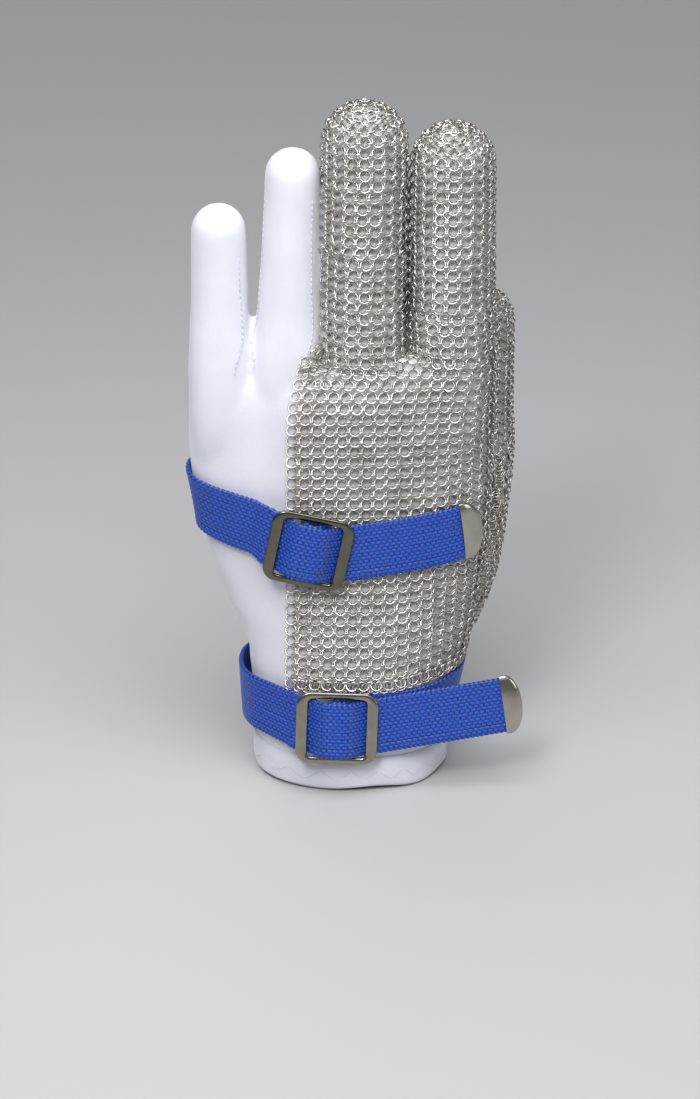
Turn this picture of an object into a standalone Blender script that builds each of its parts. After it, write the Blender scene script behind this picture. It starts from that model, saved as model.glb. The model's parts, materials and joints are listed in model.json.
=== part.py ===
"""A three-finger ring-mesh cut resistant glove, worn over a thin fabric liner glove, with two buckled straps.

Lengths are in millimetres, and become metres where an object is made. +Z points to the fingertips, -Y out
of the back of the hand and +X to the thumb. The origin is the centre of the wrist opening, level with the
hem's lower edge.
"""

import math

import bmesh
import bpy
from mathutils import Matrix, Vector

MM = 0.001
GAP = 0.3  # clearance between neighbouring pieces

# Fabric and mesh
LINER_WALL = 1.2
MESH_OFFSET = 2.3  # from the liner to the inside of the mesh, room for the webbing
MESH_WALL = 1.6
HEM_HEIGHT = 12.0
HEM_WALL = 1.9
MESH_BOTTOM = 39.0
MESH_EDGE_X = -21.0  # free edge of the mesh, on the little-finger side
HAND_POINTS = 36
TUBE_STEPS = 14
HAND_SQUARENESS = 2.5  # exponent of the superellipse that a hand section is

# Hand sections: height, little-finger edge, thumb edge, half depth
HAND = (
    (0, -33.5, 33.5, 31.0),
    (22, -34.0, 34.0, 28.5),
    (46, -35.4, 36.2, 23.0),
    (58, -40.4, 39.0, 20.7),
    (69, -45.2, 42.0, 18.5),
    (89, -50.8, 44.5, 16.0),
    (112, -55.0, 45.0, 15.0),
    (165, -54.4, 45.0, 14.5),
)
# Ball of the thumb: height, centre x, centre y, radius
BALL = ((34, 20, 4, 9.0), (47, 28, 10, 12.0), (66, 34, 16, 14.4), (86, 40, 24, 12.6), (106, 45.5, 32, 9.5))
BALL_TOP = 106.0
SHELF = 1.5  # height over which the ball of the thumb closes in
THUMB_HOLE = 7.4
THUMB_HOLE_LOW, THUMB_HOLE_HIGH = -8.0, 12.0  # from the top of the ball of the thumb

# Where the hand's lofts have a section, and the level and the sloping section that close them
SECTION_HEIGHTS = (22, 34, MESH_BOTTOM, 47, 58, 70, 84, 95, 101, BALL_TOP - SHELF)
PALM_TOP = 129.0
TILTED_FROM = 143.0
HUB_X, HUB_Y = 12.0, 5.0  # a point inside every section, which its outline is measured from

# The mesh is sewn from three panels: these planes divide them
PANEL_SPLIT_X = 24.0
PANEL_SPLIT_Y = -4.0
HEM_PROUD = 0.4
FAR = 90.0
HIGH = 300.0

# Hand top: it climbs from the little finger to the index finger
TOP_HEIGHT = 154.5
TOP_SLOPE = 0.157

# Digits: centre x, centre y, tip height, middle-joint height, liner half width and half depth, and the mesh's
DIGITS = {
    "little": (-43.6, 0.0, 204.7, 181.5, 9.4, 8.9, None, None),
    "ring": (-19.6, 0.0, 224.0, 192.0, 9.3, 9.1, None, None),
    "middle": (4.8, 0.0, 240.0, 200.5, 10.6, 9.6, 14.3, 12.5),
    "index": (33.8, 0.0, 232.9, 201.0, 10.4, 9.6, 14.0, 12.5),
    "thumb": (45.5, 32.0, 164.0, 139.0, 9.4, 9.4, 12.0, 12.0),
}
BASE_BEND = {"thumb": 30.0}
TIP_BEND = {"thumb": 50.0}
FINGER_BASE_BEND = 70.0
FINGER_TIP_BEND = 80.0
BEND_SPARE = 1.0  # length that a soft length keeps on its inner side at full bend
TIP_SPARE = 3.6  # from a mesh fingertip in to the liner's

# Straps
WEB_WIDTH = 20.0
WEB = 1.5
BUCKLE_LENGTH = 28.4
BUCKLE_HEIGHT = 25.6
BUCKLE_THICKNESS = 1.5
SIDE_BAR = 4.05
EDGE_BAR = 2.3
CENTRE_BAR = 3.0
CORNER = 5.0
INNER_CORNER = 1.6
SLOT_LENGTH = 3.6  # of the sewn loop that the centre bar turns in
SLOT_HEIGHT = 2.1
TAB_LENGTH = 6.4
TIP_WIDTH = 21.2
TIP_THICKNESS = 3.2
TIP_POCKET = 3.0

# Each strap: buckle centre x and height, lift of the buckle over the liner, its turn and the tail's, the
# directions from the hub that its wrap starts and ends at, and its tip's length. Angles are in degrees.
STRAPS = {
    "hand": {"x": -14.2, "z": 89.2, "lift": 7.8, "turn": -12.0, "tail_turn": 7.7, "wrap": (150, 207), "tip": 8.0},
    "wrist": {"x": -4.6, "z": 25.8, "lift": 5.3, "turn": -2.0, "tail_turn": 7.6, "wrap": (-112, 216), "tip": 6.8},
}
LAID = GAP + WEB / 2  # the middle of webbing that lies on the liner, from the liner
OVER_MESH = MESH_OFFSET + MESH_WALL + LAID + 0.6  # and of webbing over the mesh
HAND_WRAP_START, HAND_WRAP_DROP = 102.0, 8.9
WRIST_WRAP_START, WRIST_WRAP_DIP, WRIST_WRAP_RISE = 27.5, 3.2, 1.5
WRIST_SLACK = 1.3  # how far the wrist's wrap stands off on the little-finger side
HAND_TAIL_STEPS, HAND_TAIL_STEP = 8, 5.15
WRIST_TAIL_STEPS, WRIST_TAIL_STEP = 4, 11.7
WRIST_TAIL_INWARD = 0.10  # how much the wrist's free end turns towards the palm

LINER_LOOK = ((0.82, 0.82, 0.86), 0.75, 0.0)
MESH_LOOK = ((0.55, 0.54, 0.51), 0.32, 1.0)
WEB_LOOK = ((0.02, 0.09, 0.6), 0.7, 0.0)
NICKEL_LOOK = ((0.62, 0.6, 0.55), 0.18, 1.0)


# ------------------------------------------------------------------ scene and objects


def new_collection(name):
    collection = bpy.data.collections.new(name)
    bpy.context.scene.collection.children.link(collection)
    return collection


def clear_scene():
    for obj in list(bpy.data.objects):
        bpy.data.objects.remove(obj)


def finish(name, look):
    colour, roughness, metallic = look
    material = bpy.data.materials.new(name + "_finish")
    material.use_nodes = True
    shader = material.node_tree.nodes["Principled BSDF"]
    shader.inputs["Base Color"].default_value = (*colour, 1)
    shader.inputs["Roughness"].default_value = roughness
    shader.inputs["Metallic"].default_value = metallic
    return material


def add(name, data, look, joint=None):
    """Puts a mesh or curve in the glove's collection, with its own material, under its joint's empty."""
    obj = bpy.data.objects.new(name, data)
    GLOVE.objects.link(obj)
    data.materials.append(finish(name, look))
    if joint:
        obj.parent = joint
        obj.matrix_parent_inverse = joint.matrix_world.inverted()
    return obj


def hinge(name, x, y, z):
    """An empty on a joint's axis. The pieces that turn there are its children."""
    empty = bpy.data.objects.new(name, None)
    empty.empty_display_size = 5 * MM
    empty.matrix_world = Matrix.Translation(Vector((x, y, z)) * MM)
    GLOVE.objects.link(empty)
    return empty


def mesh_of(name, points, faces):
    mesh = bpy.data.meshes.new(name)
    mesh.from_pydata([Vector(p) * MM for p in points], [], faces)
    mesh.update()
    return mesh


def smooth(obj, angle=40):
    obj.data.shade_smooth()
    obj.data.set_sharp_from_angle(angle=math.radians(angle))


def cutter(name, mesh):
    obj = bpy.data.objects.new(name, mesh)
    CUTTERS.objects.link(obj)
    obj.hide_render = True
    obj.display_type = "WIRE"
    return obj


def boolean(obj, other, operation):
    modifier = obj.modifiers.new(operation.title(), "BOOLEAN")
    modifier.operation = operation
    modifier.solver = "EXACT"
    modifier.object = other


def box_cutter(name, low, high):
    mesh = bpy.data.meshes.new(name)
    made = bmesh.new()
    middle = (Vector(low) + Vector(high)) / 2 * MM
    size = (Vector(high) - Vector(low)) * MM
    bmesh.ops.create_cube(made, size=1, matrix=Matrix.Translation(middle) @ Matrix.Diagonal((*size, 1)))
    made.to_mesh(mesh)
    made.free()
    return cutter(name, mesh)


def cylinder_cutter(name, x, y, radius, low, high):
    mesh = bpy.data.meshes.new(name)
    made = bmesh.new()
    place = Matrix.Translation(Vector((x, y, (low + high) / 2)) * MM)
    bmesh.ops.create_cone(
        made, cap_ends=True, segments=TUBE_STEPS, radius1=radius * MM, radius2=radius * MM,
        depth=(high - low) * MM, matrix=place,
    )
    made.to_mesh(mesh)
    made.free()
    return cutter(name, mesh)


# ------------------------------------------------------------------ the hand's shape


def between(table, height):
    """The table's values at a height, in proportion between its two rows."""
    if height <= table[0][0]:
        return table[0][1:]
    for low, high in zip(table, table[1:]):
        if height <= high[0]:
            t = (height - low[0]) / (high[0] - low[0])
            return tuple(a + (b - a) * t for a, b in zip(low[1:], high[1:]))
    return table[-1][1:]


def top_at(x):
    return TOP_HEIGHT + TOP_SLOPE * x


def reach(height, angle, grow, ball):
    """Distance from the section's hub to its outline, in one direction."""
    left, right, depth = between(HAND, height)
    hub = Vector((HUB_X, HUB_Y))
    way = Vector((math.cos(angle), math.sin(angle)))
    middle = (left + right) / 2
    a = (right - left) / 2 + grow
    b = depth + grow
    inside, outside = 0.0, 200.0
    for _ in range(40):
        r = (inside + outside) / 2
        p = hub + way * r
        if abs((p.x - middle) / a) ** HAND_SQUARENESS + abs(p.y / b) ** HAND_SQUARENESS < 1:
            inside = r
        else:
            outside = r
    if not ball or height < BALL[0][0]:
        return inside
    x, y, radius = between(BALL, height)
    to_ball = Vector((x, y)) - hub
    along = to_ball.dot(way)
    aside = to_ball.length_squared - along * along
    spare = (radius + grow) ** 2 - aside
    if along > 0 and spare > 0:
        return max(inside, along + math.sqrt(spare))
    return inside


def outline_point(height, angle, grow, ball=True):
    r = reach(height, angle, grow, ball)
    return HUB_X + r * math.cos(angle), HUB_Y + r * math.sin(angle)


def section(height, grow, ball=True, tilted=False):
    """A closed section of the hand, as points in order from the thumb edge through the palm side."""
    points = []
    for i in range(HAND_POINTS):
        x, y = outline_point(height, 2 * math.pi * i / HAND_POINTS, grow, ball)
        points.append((x, y, top_at(x) if tilted else height))
    return points


def hand_sections(low, grow, ball_top):
    """Sections from a height to the hand's top. The ball of the thumb ends in a shelf under the thumb."""
    heights = [low] + [h for h in SECTION_HEIGHTS if h > low]
    made = [section(h, grow) for h in heights]
    made.append(section(ball_top, grow))
    made.append(section(ball_top + SHELF, grow, ball=False))
    made.append(section(PALM_TOP, grow, ball=False))
    made.append(section(TILTED_FROM, grow, ball=False, tilted=True))
    return made


def shell(name, outer, inner):
    """A closed wall between two lofts of the same number of sections, open at both ends."""
    count = len(outer[0])
    rows = len(outer)
    points = [p for ring in outer for p in ring] + [p for ring in inner for p in ring]
    base = rows * count
    faces = []
    for k in range(count):
        n = (k + 1) % count
        for row in range(rows - 1):
            a, b = row * count, (row + 1) * count
            faces.append((a + k, a + n, b + n, b + k))
            faces.append((base + a + n, base + a + k, base + b + k, base + b + n))
        top = (rows - 1) * count
        faces.append((n, k, base + k, base + n))
        faces.append((top + k, top + n, base + top + n, base + top + k))
    return mesh_of(name, points, faces)


def hand_shell(name, low, grow_out, wall, look):
    outer = hand_sections(low, grow_out, BALL_TOP + grow_out)
    inner = hand_sections(low, grow_out - wall, BALL_TOP + grow_out - wall)
    return add(name, shell(name, outer, inner), look)


def make_hand():
    """The liner's body and hem, and the three mesh panels over it."""
    x, y = DIGITS["thumb"][:2]
    low, high = BALL_TOP + THUMB_HOLE_LOW, BALL_TOP + THUMB_HOLE_HIGH
    hole = cylinder_cutter("thumb_hole", x, y, THUMB_HOLE, low, high)
    liner = hand_shell("liner_hand", HEM_HEIGHT + GAP, 0, LINER_WALL, LINER_LOOK)
    boolean(liner, hole, "DIFFERENCE")
    smooth(liner)

    heights = (0, HEM_HEIGHT)
    band = [section(h, HEM_PROUD) for h in heights]
    lining = [section(h, HEM_PROUD - HEM_WALL) for h in heights]
    smooth(add("liner_hem", shell("liner_hem", band, lining), LINER_LOOK))

    behind = PANEL_SPLIT_Y + GAP
    panels = {
        "mesh_back": ((MESH_EDGE_X, -FAR, 0), (FAR, PANEL_SPLIT_Y, HIGH)),
        "mesh_thumb_side": ((PANEL_SPLIT_X, behind, 0), (FAR, FAR, HIGH)),
        "mesh_palm": ((MESH_EDGE_X, behind, 0), (PANEL_SPLIT_X - GAP, FAR, HIGH)),
    }
    for name, (low, high) in panels.items():
        panel = hand_shell(name, MESH_BOTTOM, MESH_OFFSET + MESH_WALL, MESH_WALL, MESH_LOOK)
        boolean(panel, box_cutter(name + "_cut", low, high), "INTERSECT")
        if name == "mesh_thumb_side":
            boolean(panel, hole, "DIFFERENCE")
        smooth(panel)


# ------------------------------------------------------------------ digits


def turned(name, profile, closed, x, y, squash, look, joint):
    """A profile of (radius, height) points turned about an upright axis, then flattened front to back."""
    mesh = bpy.data.meshes.new(name)
    points = [Vector((r, 0, z)) * MM for r, z in profile]
    edges = [(i, i + 1) for i in range(len(points) - 1)]
    if closed:
        edges.append((len(points) - 1, 0))
    mesh.from_pydata(points, edges, [])
    obj = add(name, mesh, look, joint)
    obj.location = Vector((x, y, 0)) * MM
    obj.scale.y = squash
    turn = obj.modifiers.new("Turn", "SCREW")
    turn.axis = "Z"
    turn.steps = turn.render_steps = TUBE_STEPS
    turn.use_merge_vertices = True
    turn.merge_threshold = 0.00001
    turn.use_smooth_shade = True
    return obj


def tube(name, x, y, low, high, width, depth, wall, look, joint):
    profile = [(width, high), (width, low), (width - wall, low), (width - wall, high)]
    return turned(name, profile, True, x, y, depth / width, look, joint)


def dome(radius, height, steps=4):
    """Points of a quarter circle from the axis down to its rim."""
    turns = [math.pi / 2 * i / steps for i in range(steps + 1)]
    return [(radius * math.sin(t), height - radius + radius * math.cos(t)) for t in turns]


def fingertip(name, x, y, low, tip, width, depth, wall, look, joint):
    outer = dome(width, tip)
    inner = dome(width - wall, tip - wall)
    profile = [*outer, (width, low), (width - wall, low), *reversed(inner)]
    return turned(name, profile, False, x, y, depth / width, look, joint)


def digit_heights(name):
    """Heights of a digit's root, base joint, lower segment's two ends, middle joint and tip segment."""
    x, _, _, middle, width, depth, mesh_width, mesh_depth = DIGITS[name]
    swing = mesh_depth or depth
    base_bend = BASE_BEND.get(name, FINGER_BASE_BEND)
    tip_bend = TIP_BEND.get(name, FINGER_TIP_BEND)
    base_half = swing * math.tan(math.radians(base_bend / 2)) + BEND_SPARE
    middle_half = swing * math.tan(math.radians(tip_bend / 2)) + BEND_SPARE
    if name == "thumb":
        start = BALL_TOP + MESH_OFFSET + MESH_WALL + SHELF + GAP
    else:
        start = top_at(x + (mesh_width or width)) + GAP
    return start, start + base_half, start + 2 * base_half, middle - middle_half, middle, middle + middle_half


def make_digit(name):
    """A digit in four lengths: two rigid ones, and the two soft ones that bend at its joints."""
    x, y, tip, _, width, depth, mesh_width, mesh_depth = DIGITS[name]
    start, base, lower, lower_end, middle, upper = digit_heights(name)
    base_joint = hinge(name + "_base_joint", x, y, base)
    middle_joint = hinge(name + "_middle_joint", x, y, middle)
    layers = [("liner_" + name, width, depth, LINER_WALL, LINER_LOOK, tip - (TIP_SPARE if mesh_width else 0))]
    if mesh_width:
        layers.append(("mesh_" + name, mesh_width, mesh_depth, MESH_WALL, MESH_LOOK, tip))
    for layer, half_width, half_depth, wall, look, top in layers:
        shape = (half_width, half_depth, wall, look)
        tube(layer + "_base", x, y, start, lower - GAP, *shape, None)
        tube(layer + "_lower", x, y, lower, lower_end - GAP, *shape, base_joint)
        tube(layer + "_knuckle", x, y, lower_end, upper - GAP, *shape, base_joint)
        fingertip(layer + "_tip", x, y, upper, top, *shape, middle_joint)
    middle_joint.parent = base_joint
    middle_joint.matrix_parent_inverse = base_joint.matrix_world.inverted()


# ------------------------------------------------------------------ straps and buckles


def rounded(length, height, radius, centre=0.0, steps=4):
    """A rounded rectangle's points, anticlockwise."""
    points = []
    corners = ((1, 1, 0), (-1, 1, 90), (-1, -1, 180), (1, -1, 270))
    for sx, sy, first in corners:
        cx = centre + sx * (length / 2 - radius)
        cy = sy * (height / 2 - radius)
        for i in range(steps + 1):
            turn = math.radians(first + 90 * i / steps)
            points.append((cx + radius * math.cos(turn), cy + radius * math.sin(turn)))
    return points


def plate(name, outlines, thickness, place, look, joint=None):
    """A flat outline with holes, extruded both ways from its plane, then placed."""
    curve = bpy.data.curves.new(name, "CURVE")
    curve.dimensions = "2D"
    curve.fill_mode = "BOTH"
    curve.extrude = thickness / 2 * MM
    for outline in outlines:
        spline = curve.splines.new("POLY")
        spline.points.add(len(outline) - 1)
        spline.use_cyclic_u = True
        for point, (u, v) in zip(spline.points, outline):
            point.co = (u * MM, v * MM, 0, 1)
    obj = add(name, curve, look, joint)
    obj.matrix_world = place
    return obj


def strip(name, line, across, width, look, joint=None):
    """Webbing along a line of points, whose width at each point is along the matching direction across."""
    points, faces = [], []
    for p, w in zip(line, across):
        points.append(p - w * width / 2)
        points.append(p + w * width / 2)
    for i in range(len(line) - 1):
        faces.append((2 * i, 2 * i + 2, 2 * i + 3, 2 * i + 1))
    obj = add(name, mesh_of(name, points, faces), look, joint)
    thick = obj.modifiers.new("Thickness", "SOLIDIFY")
    thick.thickness = WEB * MM
    thick.offset = 0
    thick.use_even_offset = True
    smooth(obj, 60)
    return obj


def back_point(x, z, lift):
    """A point over the back of the hand."""
    left, right, depth = between(HAND, z)
    share = abs((x - (left + right) / 2) / ((right - left) / 2 + lift))
    return Vector((x, -(depth + lift) * (1 - share**HAND_SQUARENESS) ** (1 / HAND_SQUARENESS), z))


def buckle_place(strap):
    """The buckle's frame: along the strap, across it, and out of the hand, from the centre bar's middle."""
    x, z, lift = strap["x"], strap["z"], strap["lift"]
    half = WEB_WIDTH / 2
    upright = (back_point(x, z + half, lift) - back_point(x, z - half, lift)).normalized()
    turn = math.radians(strap["turn"])
    level = Vector((1, 0, 0))
    along = level * math.cos(turn) + upright * math.sin(turn)
    across = upright * math.cos(turn) - level * math.sin(turn)
    return back_point(x, z, lift), along, across, along.cross(across)


def placed(origin, axis_x, axis_y, axis_z):
    matrix = Matrix((axis_x, axis_y, axis_z)).transposed().to_4x4()
    return Matrix.Translation(origin * MM) @ matrix


def make_buckle(strap_name, strap):
    """The slide buckle, the sewn loop round its centre bar, and the webbing that threads through it."""
    origin, along, across, out = buckle_place(strap)
    joint = hinge(strap_name + "_buckle_joint", *origin)
    window = (BUCKLE_LENGTH - CENTRE_BAR) / 2 - SIDE_BAR
    inner_height = BUCKLE_HEIGHT - 2 * EDGE_BAR
    window_centre = (CENTRE_BAR + window) / 2
    outlines = [
        rounded(BUCKLE_LENGTH, BUCKLE_HEIGHT, CORNER),
        rounded(window, inner_height, INNER_CORNER / 2, -window_centre, 2),
        rounded(window, inner_height, INNER_CORNER / 2, window_centre, 2),
    ]
    frame_place = placed(origin, along, across, out)
    plate(strap_name + "_buckle", outlines, BUCKLE_THICKNESS, frame_place, NICKEL_LOOK, joint)

    wall_u = SLOT_LENGTH / 2 + WEB
    wall_n = SLOT_HEIGHT / 2 + WEB
    slot_u, slot_n = SLOT_LENGTH / 2, SLOT_HEIGHT / 2
    loop = [
        (-wall_u, -wall_n), (TAB_LENGTH, -wall_n), (TAB_LENGTH, -slot_n),
        (wall_u, -slot_n), (wall_u, wall_n), (-wall_u, wall_n),
    ]
    slot = [(-slot_u, -slot_n), (slot_u, -slot_n), (slot_u, slot_n), (-slot_u, slot_n)]
    loop_place = placed(origin, along, out, -across)
    plate(strap_name + "_strap_anchor", [loop, slot], WEB_WIDTH - 1, loop_place, WEB_LOOK)

    low = -(BUCKLE_THICKNESS / 2 + GAP + WEB / 2)
    high = wall_n + WEB / 2 + 0.4
    end = BUCKLE_LENGTH / 2 + GAP
    bar = BUCKLE_LENGTH / 2 - SIDE_BAR
    rise = [(end, low), (bar - 0.1, low), (bar - 1.5, low + 0.6)]
    rise += [(wall_u + 1.7, high - 0.8), (wall_u + 0.1, high)]
    path = [(-u, n) for u, n in rise] + [(u, n) for u, n in reversed(rise)]
    line = [origin + along * u + out * n for u, n in path]
    strip(strap_name + "_strap_pass", line, [across] * len(line), WEB_WIDTH, WEB_LOOK)


def strap_end(strap, side):
    """Where the webbing leaves the buckle on one side, -1 or 1, and the width direction there."""
    origin, along, across, out = buckle_place(strap)
    low = -(BUCKLE_THICKNESS / 2 + GAP + WEB / 2)
    reach_out = BUCKLE_LENGTH / 2 + 3 * GAP
    return origin + along * reach_out * side + out * low, across


def wrap_line(first, last, steps, lift_at, height_at):
    """Points round the hand between two directions from the hub, and the width direction at each."""
    line, across = [], []
    half = WEB_WIDTH / 2
    for i in range(steps + 1):
        t = i / steps
        angle = math.radians(first + (last - first) * t)
        z = height_at(t)
        ends = [Vector((*outline_point(h, angle, lift_at(t)), h)) for h in (z - half, z, z + half)]
        line.append(ends[1])
        across.append((ends[2] - ends[0]).normalized())
    return line, across


def make_wrap(strap_name, strap, lift_at, height_at, steps):
    """The webbing round the hand, from its sewn end to the buckle, round the little-finger side."""
    line, across = wrap_line(*strap["wrap"], steps, lift_at, height_at)
    end, end_across = strap_end(strap, -1)
    strip(strap_name + "_strap_wrap", line + [end], across + [end_across], WEB_WIDTH, WEB_LOOK)


def make_tail(strap_name, strap, line_of):
    """The strap's free end, and the metal tip folded over it. Both turn about the buckle's outer bar."""
    start, start_across = strap_end(strap, 1)
    joint = hinge(strap_name + "_tail_joint", *start)
    rest, rest_across = line_of(start)
    line = [start] + rest
    across = [start_across] + rest_across
    way = (line[-1] - line[-2]).normalized()
    width_way = (across[-1] - way * across[-1].dot(way)).normalized()
    across[-2:] = [width_way] * 2
    strip(strap_name + "_strap_tail", line, across, WEB_WIDTH, WEB_LOOK, joint)

    half = TIP_WIDTH / 2
    bulge = strap["tip"] - 1.5
    turns = [math.radians(-90 + 180 * i / 12) for i in range(13)]
    outline = [(0, -half)] + [(1.5 + bulge * math.cos(t), half * math.sin(t)) for t in turns] + [(0, half)]
    face = way.cross(width_way)
    tip_origin = line[-1] - way * TIP_POCKET
    place = placed(tip_origin, way, width_way, face)
    flat = plate(strap_name + "_tip_outline", [outline], TIP_THICKNESS, place, NICKEL_LOOK, joint)
    cap = meshed(flat, strap_name + "_strap_tip")
    pocket = box_cutter(
        strap_name + "_tip_pocket",
        (-5, -WEB_WIDTH / 2 - GAP, -WEB / 2 - GAP),
        (TIP_POCKET + GAP, WEB_WIDTH / 2 + GAP, WEB / 2 + GAP),
    )
    pocket.matrix_world = place
    boolean(cap, pocket, "DIFFERENCE")
    cap.data.set_sharp_from_angle(angle=math.radians(30))


def meshed(curve_object, name):
    """The curve object as a mesh object with welded caps, in the same place and under the same parent."""
    bpy.context.view_layer.update()
    graph = bpy.context.evaluated_depsgraph_get()
    mesh = bpy.data.meshes.new_from_object(curve_object.evaluated_get(graph))
    made = bmesh.new()
    made.from_mesh(mesh)
    bmesh.ops.remove_doubles(made, verts=made.verts, dist=0.00001)
    made.to_mesh(mesh)
    made.free()
    obj = bpy.data.objects.new(name, mesh)
    GLOVE.objects.link(obj)
    obj.parent = curve_object.parent
    obj.matrix_parent_inverse = curve_object.matrix_parent_inverse.copy()
    obj.matrix_world = curve_object.matrix_world.copy()
    bpy.data.objects.remove(curve_object)
    return obj


def ease(t, low, high):
    """0 before low, 1 after high, and smooth between."""
    t = min(max((t - low) / (high - low), 0), 1)
    return t * t * (3 - 2 * t)


def make_hand_strap():
    strap = STRAPS["hand"]

    def lift_at(t):
        return LAID + 0.15 + (OVER_MESH - LAID) * ease(t, 0.6, 1.0)

    def height_at(t):
        return HAND_WRAP_START - HAND_WRAP_DROP * max((t - 0.15) / 0.85, 0) ** 1.6

    def over_back(start):
        """Along the back of the hand, over the mesh, rising to the thumb side."""
        line, across = [], []
        half = WEB_WIDTH / 2
        rise = math.tan(math.radians(strap["tail_turn"]))
        for i in range(1, HAND_TAIL_STEPS + 1):
            x = start.x + i * HAND_TAIL_STEP
            z = start.z + (x - start.x) * rise
            line.append(back_point(x, z, OVER_MESH + GAP))
            upright = back_point(x, z + half, OVER_MESH) - back_point(x, z - half, OVER_MESH)
            across.append(upright.normalized())
        return line, across

    make_buckle("hand", strap)
    make_wrap("hand", strap, lift_at, height_at, 14)
    make_tail("hand", strap, over_back)


def make_wrist_strap():
    strap = STRAPS["wrist"]

    def lift_at(t):
        return LAID + GAP + ease(t, 0.0, 0.2) + WRIST_SLACK * ease(t, 0.6, 0.8)

    def height_at(t):
        return WRIST_WRAP_START - WRIST_WRAP_DIP * ease(t, 0.3, 0.75) + WRIST_WRAP_RISE * ease(t, 0.8, 1.0)

    def straight_out(start):
        """Straight past the side of the wrist, held by nothing."""
        rise = math.radians(strap["tail_turn"])
        way = Vector((math.cos(rise), WRIST_TAIL_INWARD, math.sin(rise)))
        across = buckle_place(strap)[2]
        line = [start + way * WRIST_TAIL_STEP * i for i in range(1, WRIST_TAIL_STEPS + 1)]
        return line, [across] * WRIST_TAIL_STEPS

    make_buckle("wrist", strap)
    make_wrap("wrist", strap, lift_at, height_at, 30)
    make_tail("wrist", strap, straight_out)


clear_scene()
GLOVE = new_collection("cut_resistant_glove")
CUTTERS = new_collection("cutters")
make_hand()
for digit in DIGITS:
    make_digit(digit)
make_hand_strap()
make_wrist_strap()
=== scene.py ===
"""The looks of a ring-mesh cut resistant glove over a fabric liner, with two buckled webbing straps.

Lengths are in millimetres and become metres where a mesh is made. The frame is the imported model's: +Z to the
fingertips, -Y out of the back of the hand, +X to the thumb, z = 0 at the liner's lower edge.
"""

import json
import math

import bmesh
import bpy
import numpy as np
from mathutils import Matrix, Vector
from mathutils.bvhtree import BVHTree
from mathutils.kdtree import KDTree


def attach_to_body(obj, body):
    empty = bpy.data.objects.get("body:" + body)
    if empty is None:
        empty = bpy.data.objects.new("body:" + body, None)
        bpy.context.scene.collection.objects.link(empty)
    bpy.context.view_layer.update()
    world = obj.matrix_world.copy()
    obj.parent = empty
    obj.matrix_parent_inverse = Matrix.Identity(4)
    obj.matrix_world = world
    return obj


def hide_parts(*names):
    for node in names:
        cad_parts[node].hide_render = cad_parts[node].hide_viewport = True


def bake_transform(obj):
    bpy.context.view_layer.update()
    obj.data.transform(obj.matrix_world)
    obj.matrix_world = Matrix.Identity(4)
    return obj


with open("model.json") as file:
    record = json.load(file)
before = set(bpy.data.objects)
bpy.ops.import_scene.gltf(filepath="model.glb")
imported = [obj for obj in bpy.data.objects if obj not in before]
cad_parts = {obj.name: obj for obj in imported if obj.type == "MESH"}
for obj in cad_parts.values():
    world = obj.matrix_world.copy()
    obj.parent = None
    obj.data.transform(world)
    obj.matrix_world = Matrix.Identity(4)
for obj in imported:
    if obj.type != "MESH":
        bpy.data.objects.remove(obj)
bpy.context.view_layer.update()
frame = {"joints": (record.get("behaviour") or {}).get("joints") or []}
MM = 0.001
RANDOM = np.random.default_rng(7)

# Sections of the hand: height, little-finger edge, thumb edge, half depth
HAND = (
    (-12, -33.5, 33.5, 31.5), (0, -33.5, 33.5, 31.0), (22, -34.0, 34.8, 28.5), (46, -35.4, 38.0, 23.0),
    (58, -40.4, 40.4, 20.7), (69, -45.2, 42.0, 18.5), (89, -50.8, 44.5, 16.0), (112, -55.0, 45.0, 15.0),
    (144, -54.5, 46.0, 13.4), (153, -54.3, 46.4, 9.6), (158, -54.1, 46.6, 3.5), (160, -54.0, 46.8, 3.0),
)
HAND_SQUARENESS = 2.5
HAND_TOP_SLOPE = 0.157
HUB = np.array((12.0, 5.0))  # the axis that the rows of rings and the straps go round

# Fingers: axis x, then sections (height, half width, half depth) up to the one where the round end starts
FINGER_FORMS = {
    "little": (-43.6, (
        (96, 7.0, 5.0), (124, 11.0, 12.0), (146, 11.3, 11.8), (164, 10.2, 9.8), (178, 9.6, 9.1),
        (195.7, 9.2, 8.8),
    )),
    "ring": (-19.8, (
        (96, 7.0, 7.0), (124, 12.6, 13.4), (148, 13.2, 12.8), (160, 11.0, 11.6), (172, 10.4, 10.3),
        (190, 9.6, 9.4), (214.8, 9.1, 9.1),
    )),
    "middle": (4.8, (
        (96, 7.0, 8.0), (124, 12.6, 14.6), (146, 13.3, 13.4), (172, 13.0, 11.4), (202, 12.7, 10.7),
        (226.2, 12.4, 10.5),
    )),
    "index": (33.8, (
        (96, 6.0, 7.0), (124, 11.4, 13.0), (146, 12.9, 13.0), (174, 12.8, 11.4), (202, 12.4, 10.7),
        (219.3, 12.1, 10.5),
    )),
}
FINGERS = tuple(FINGER_FORMS)
FINGER_Y = 0.0
FOOT_SQUARENESS = 2.7  # of a finger's section near the hand
FOOT_TO_ROUND = (148, 178)  # heights over which the section turns round
RING_FINGER_LEAN = (-2.4, 0.9)  # of its axis at the foot and at the end

# Sections of the thumb: height, axis x and y, radius
THUMB = (
    (30, 18, 2, 8.5), (47, 30, 10, 13.4), (66, 35, 16, 15.8), (86, 40, 24, 14.2), (106, 45.2, 31, 11.2),
    (118.6, 45.5, 32, 9.9), (152.5, 45.5, 32, 9.7),
)
ALL_DIGITS = (*FINGERS, "thumb")
MESHED_DIGITS = ("middle", "index", "thumb")

VOXEL = 1.25
SMOOTH_PASSES = 8
LINER_WALL = 0.7
CREASE = 0.7  # depth
HEM_TOP = 11.0
PUFF = 1.6  # how far the liner fills out under the mesh

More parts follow.
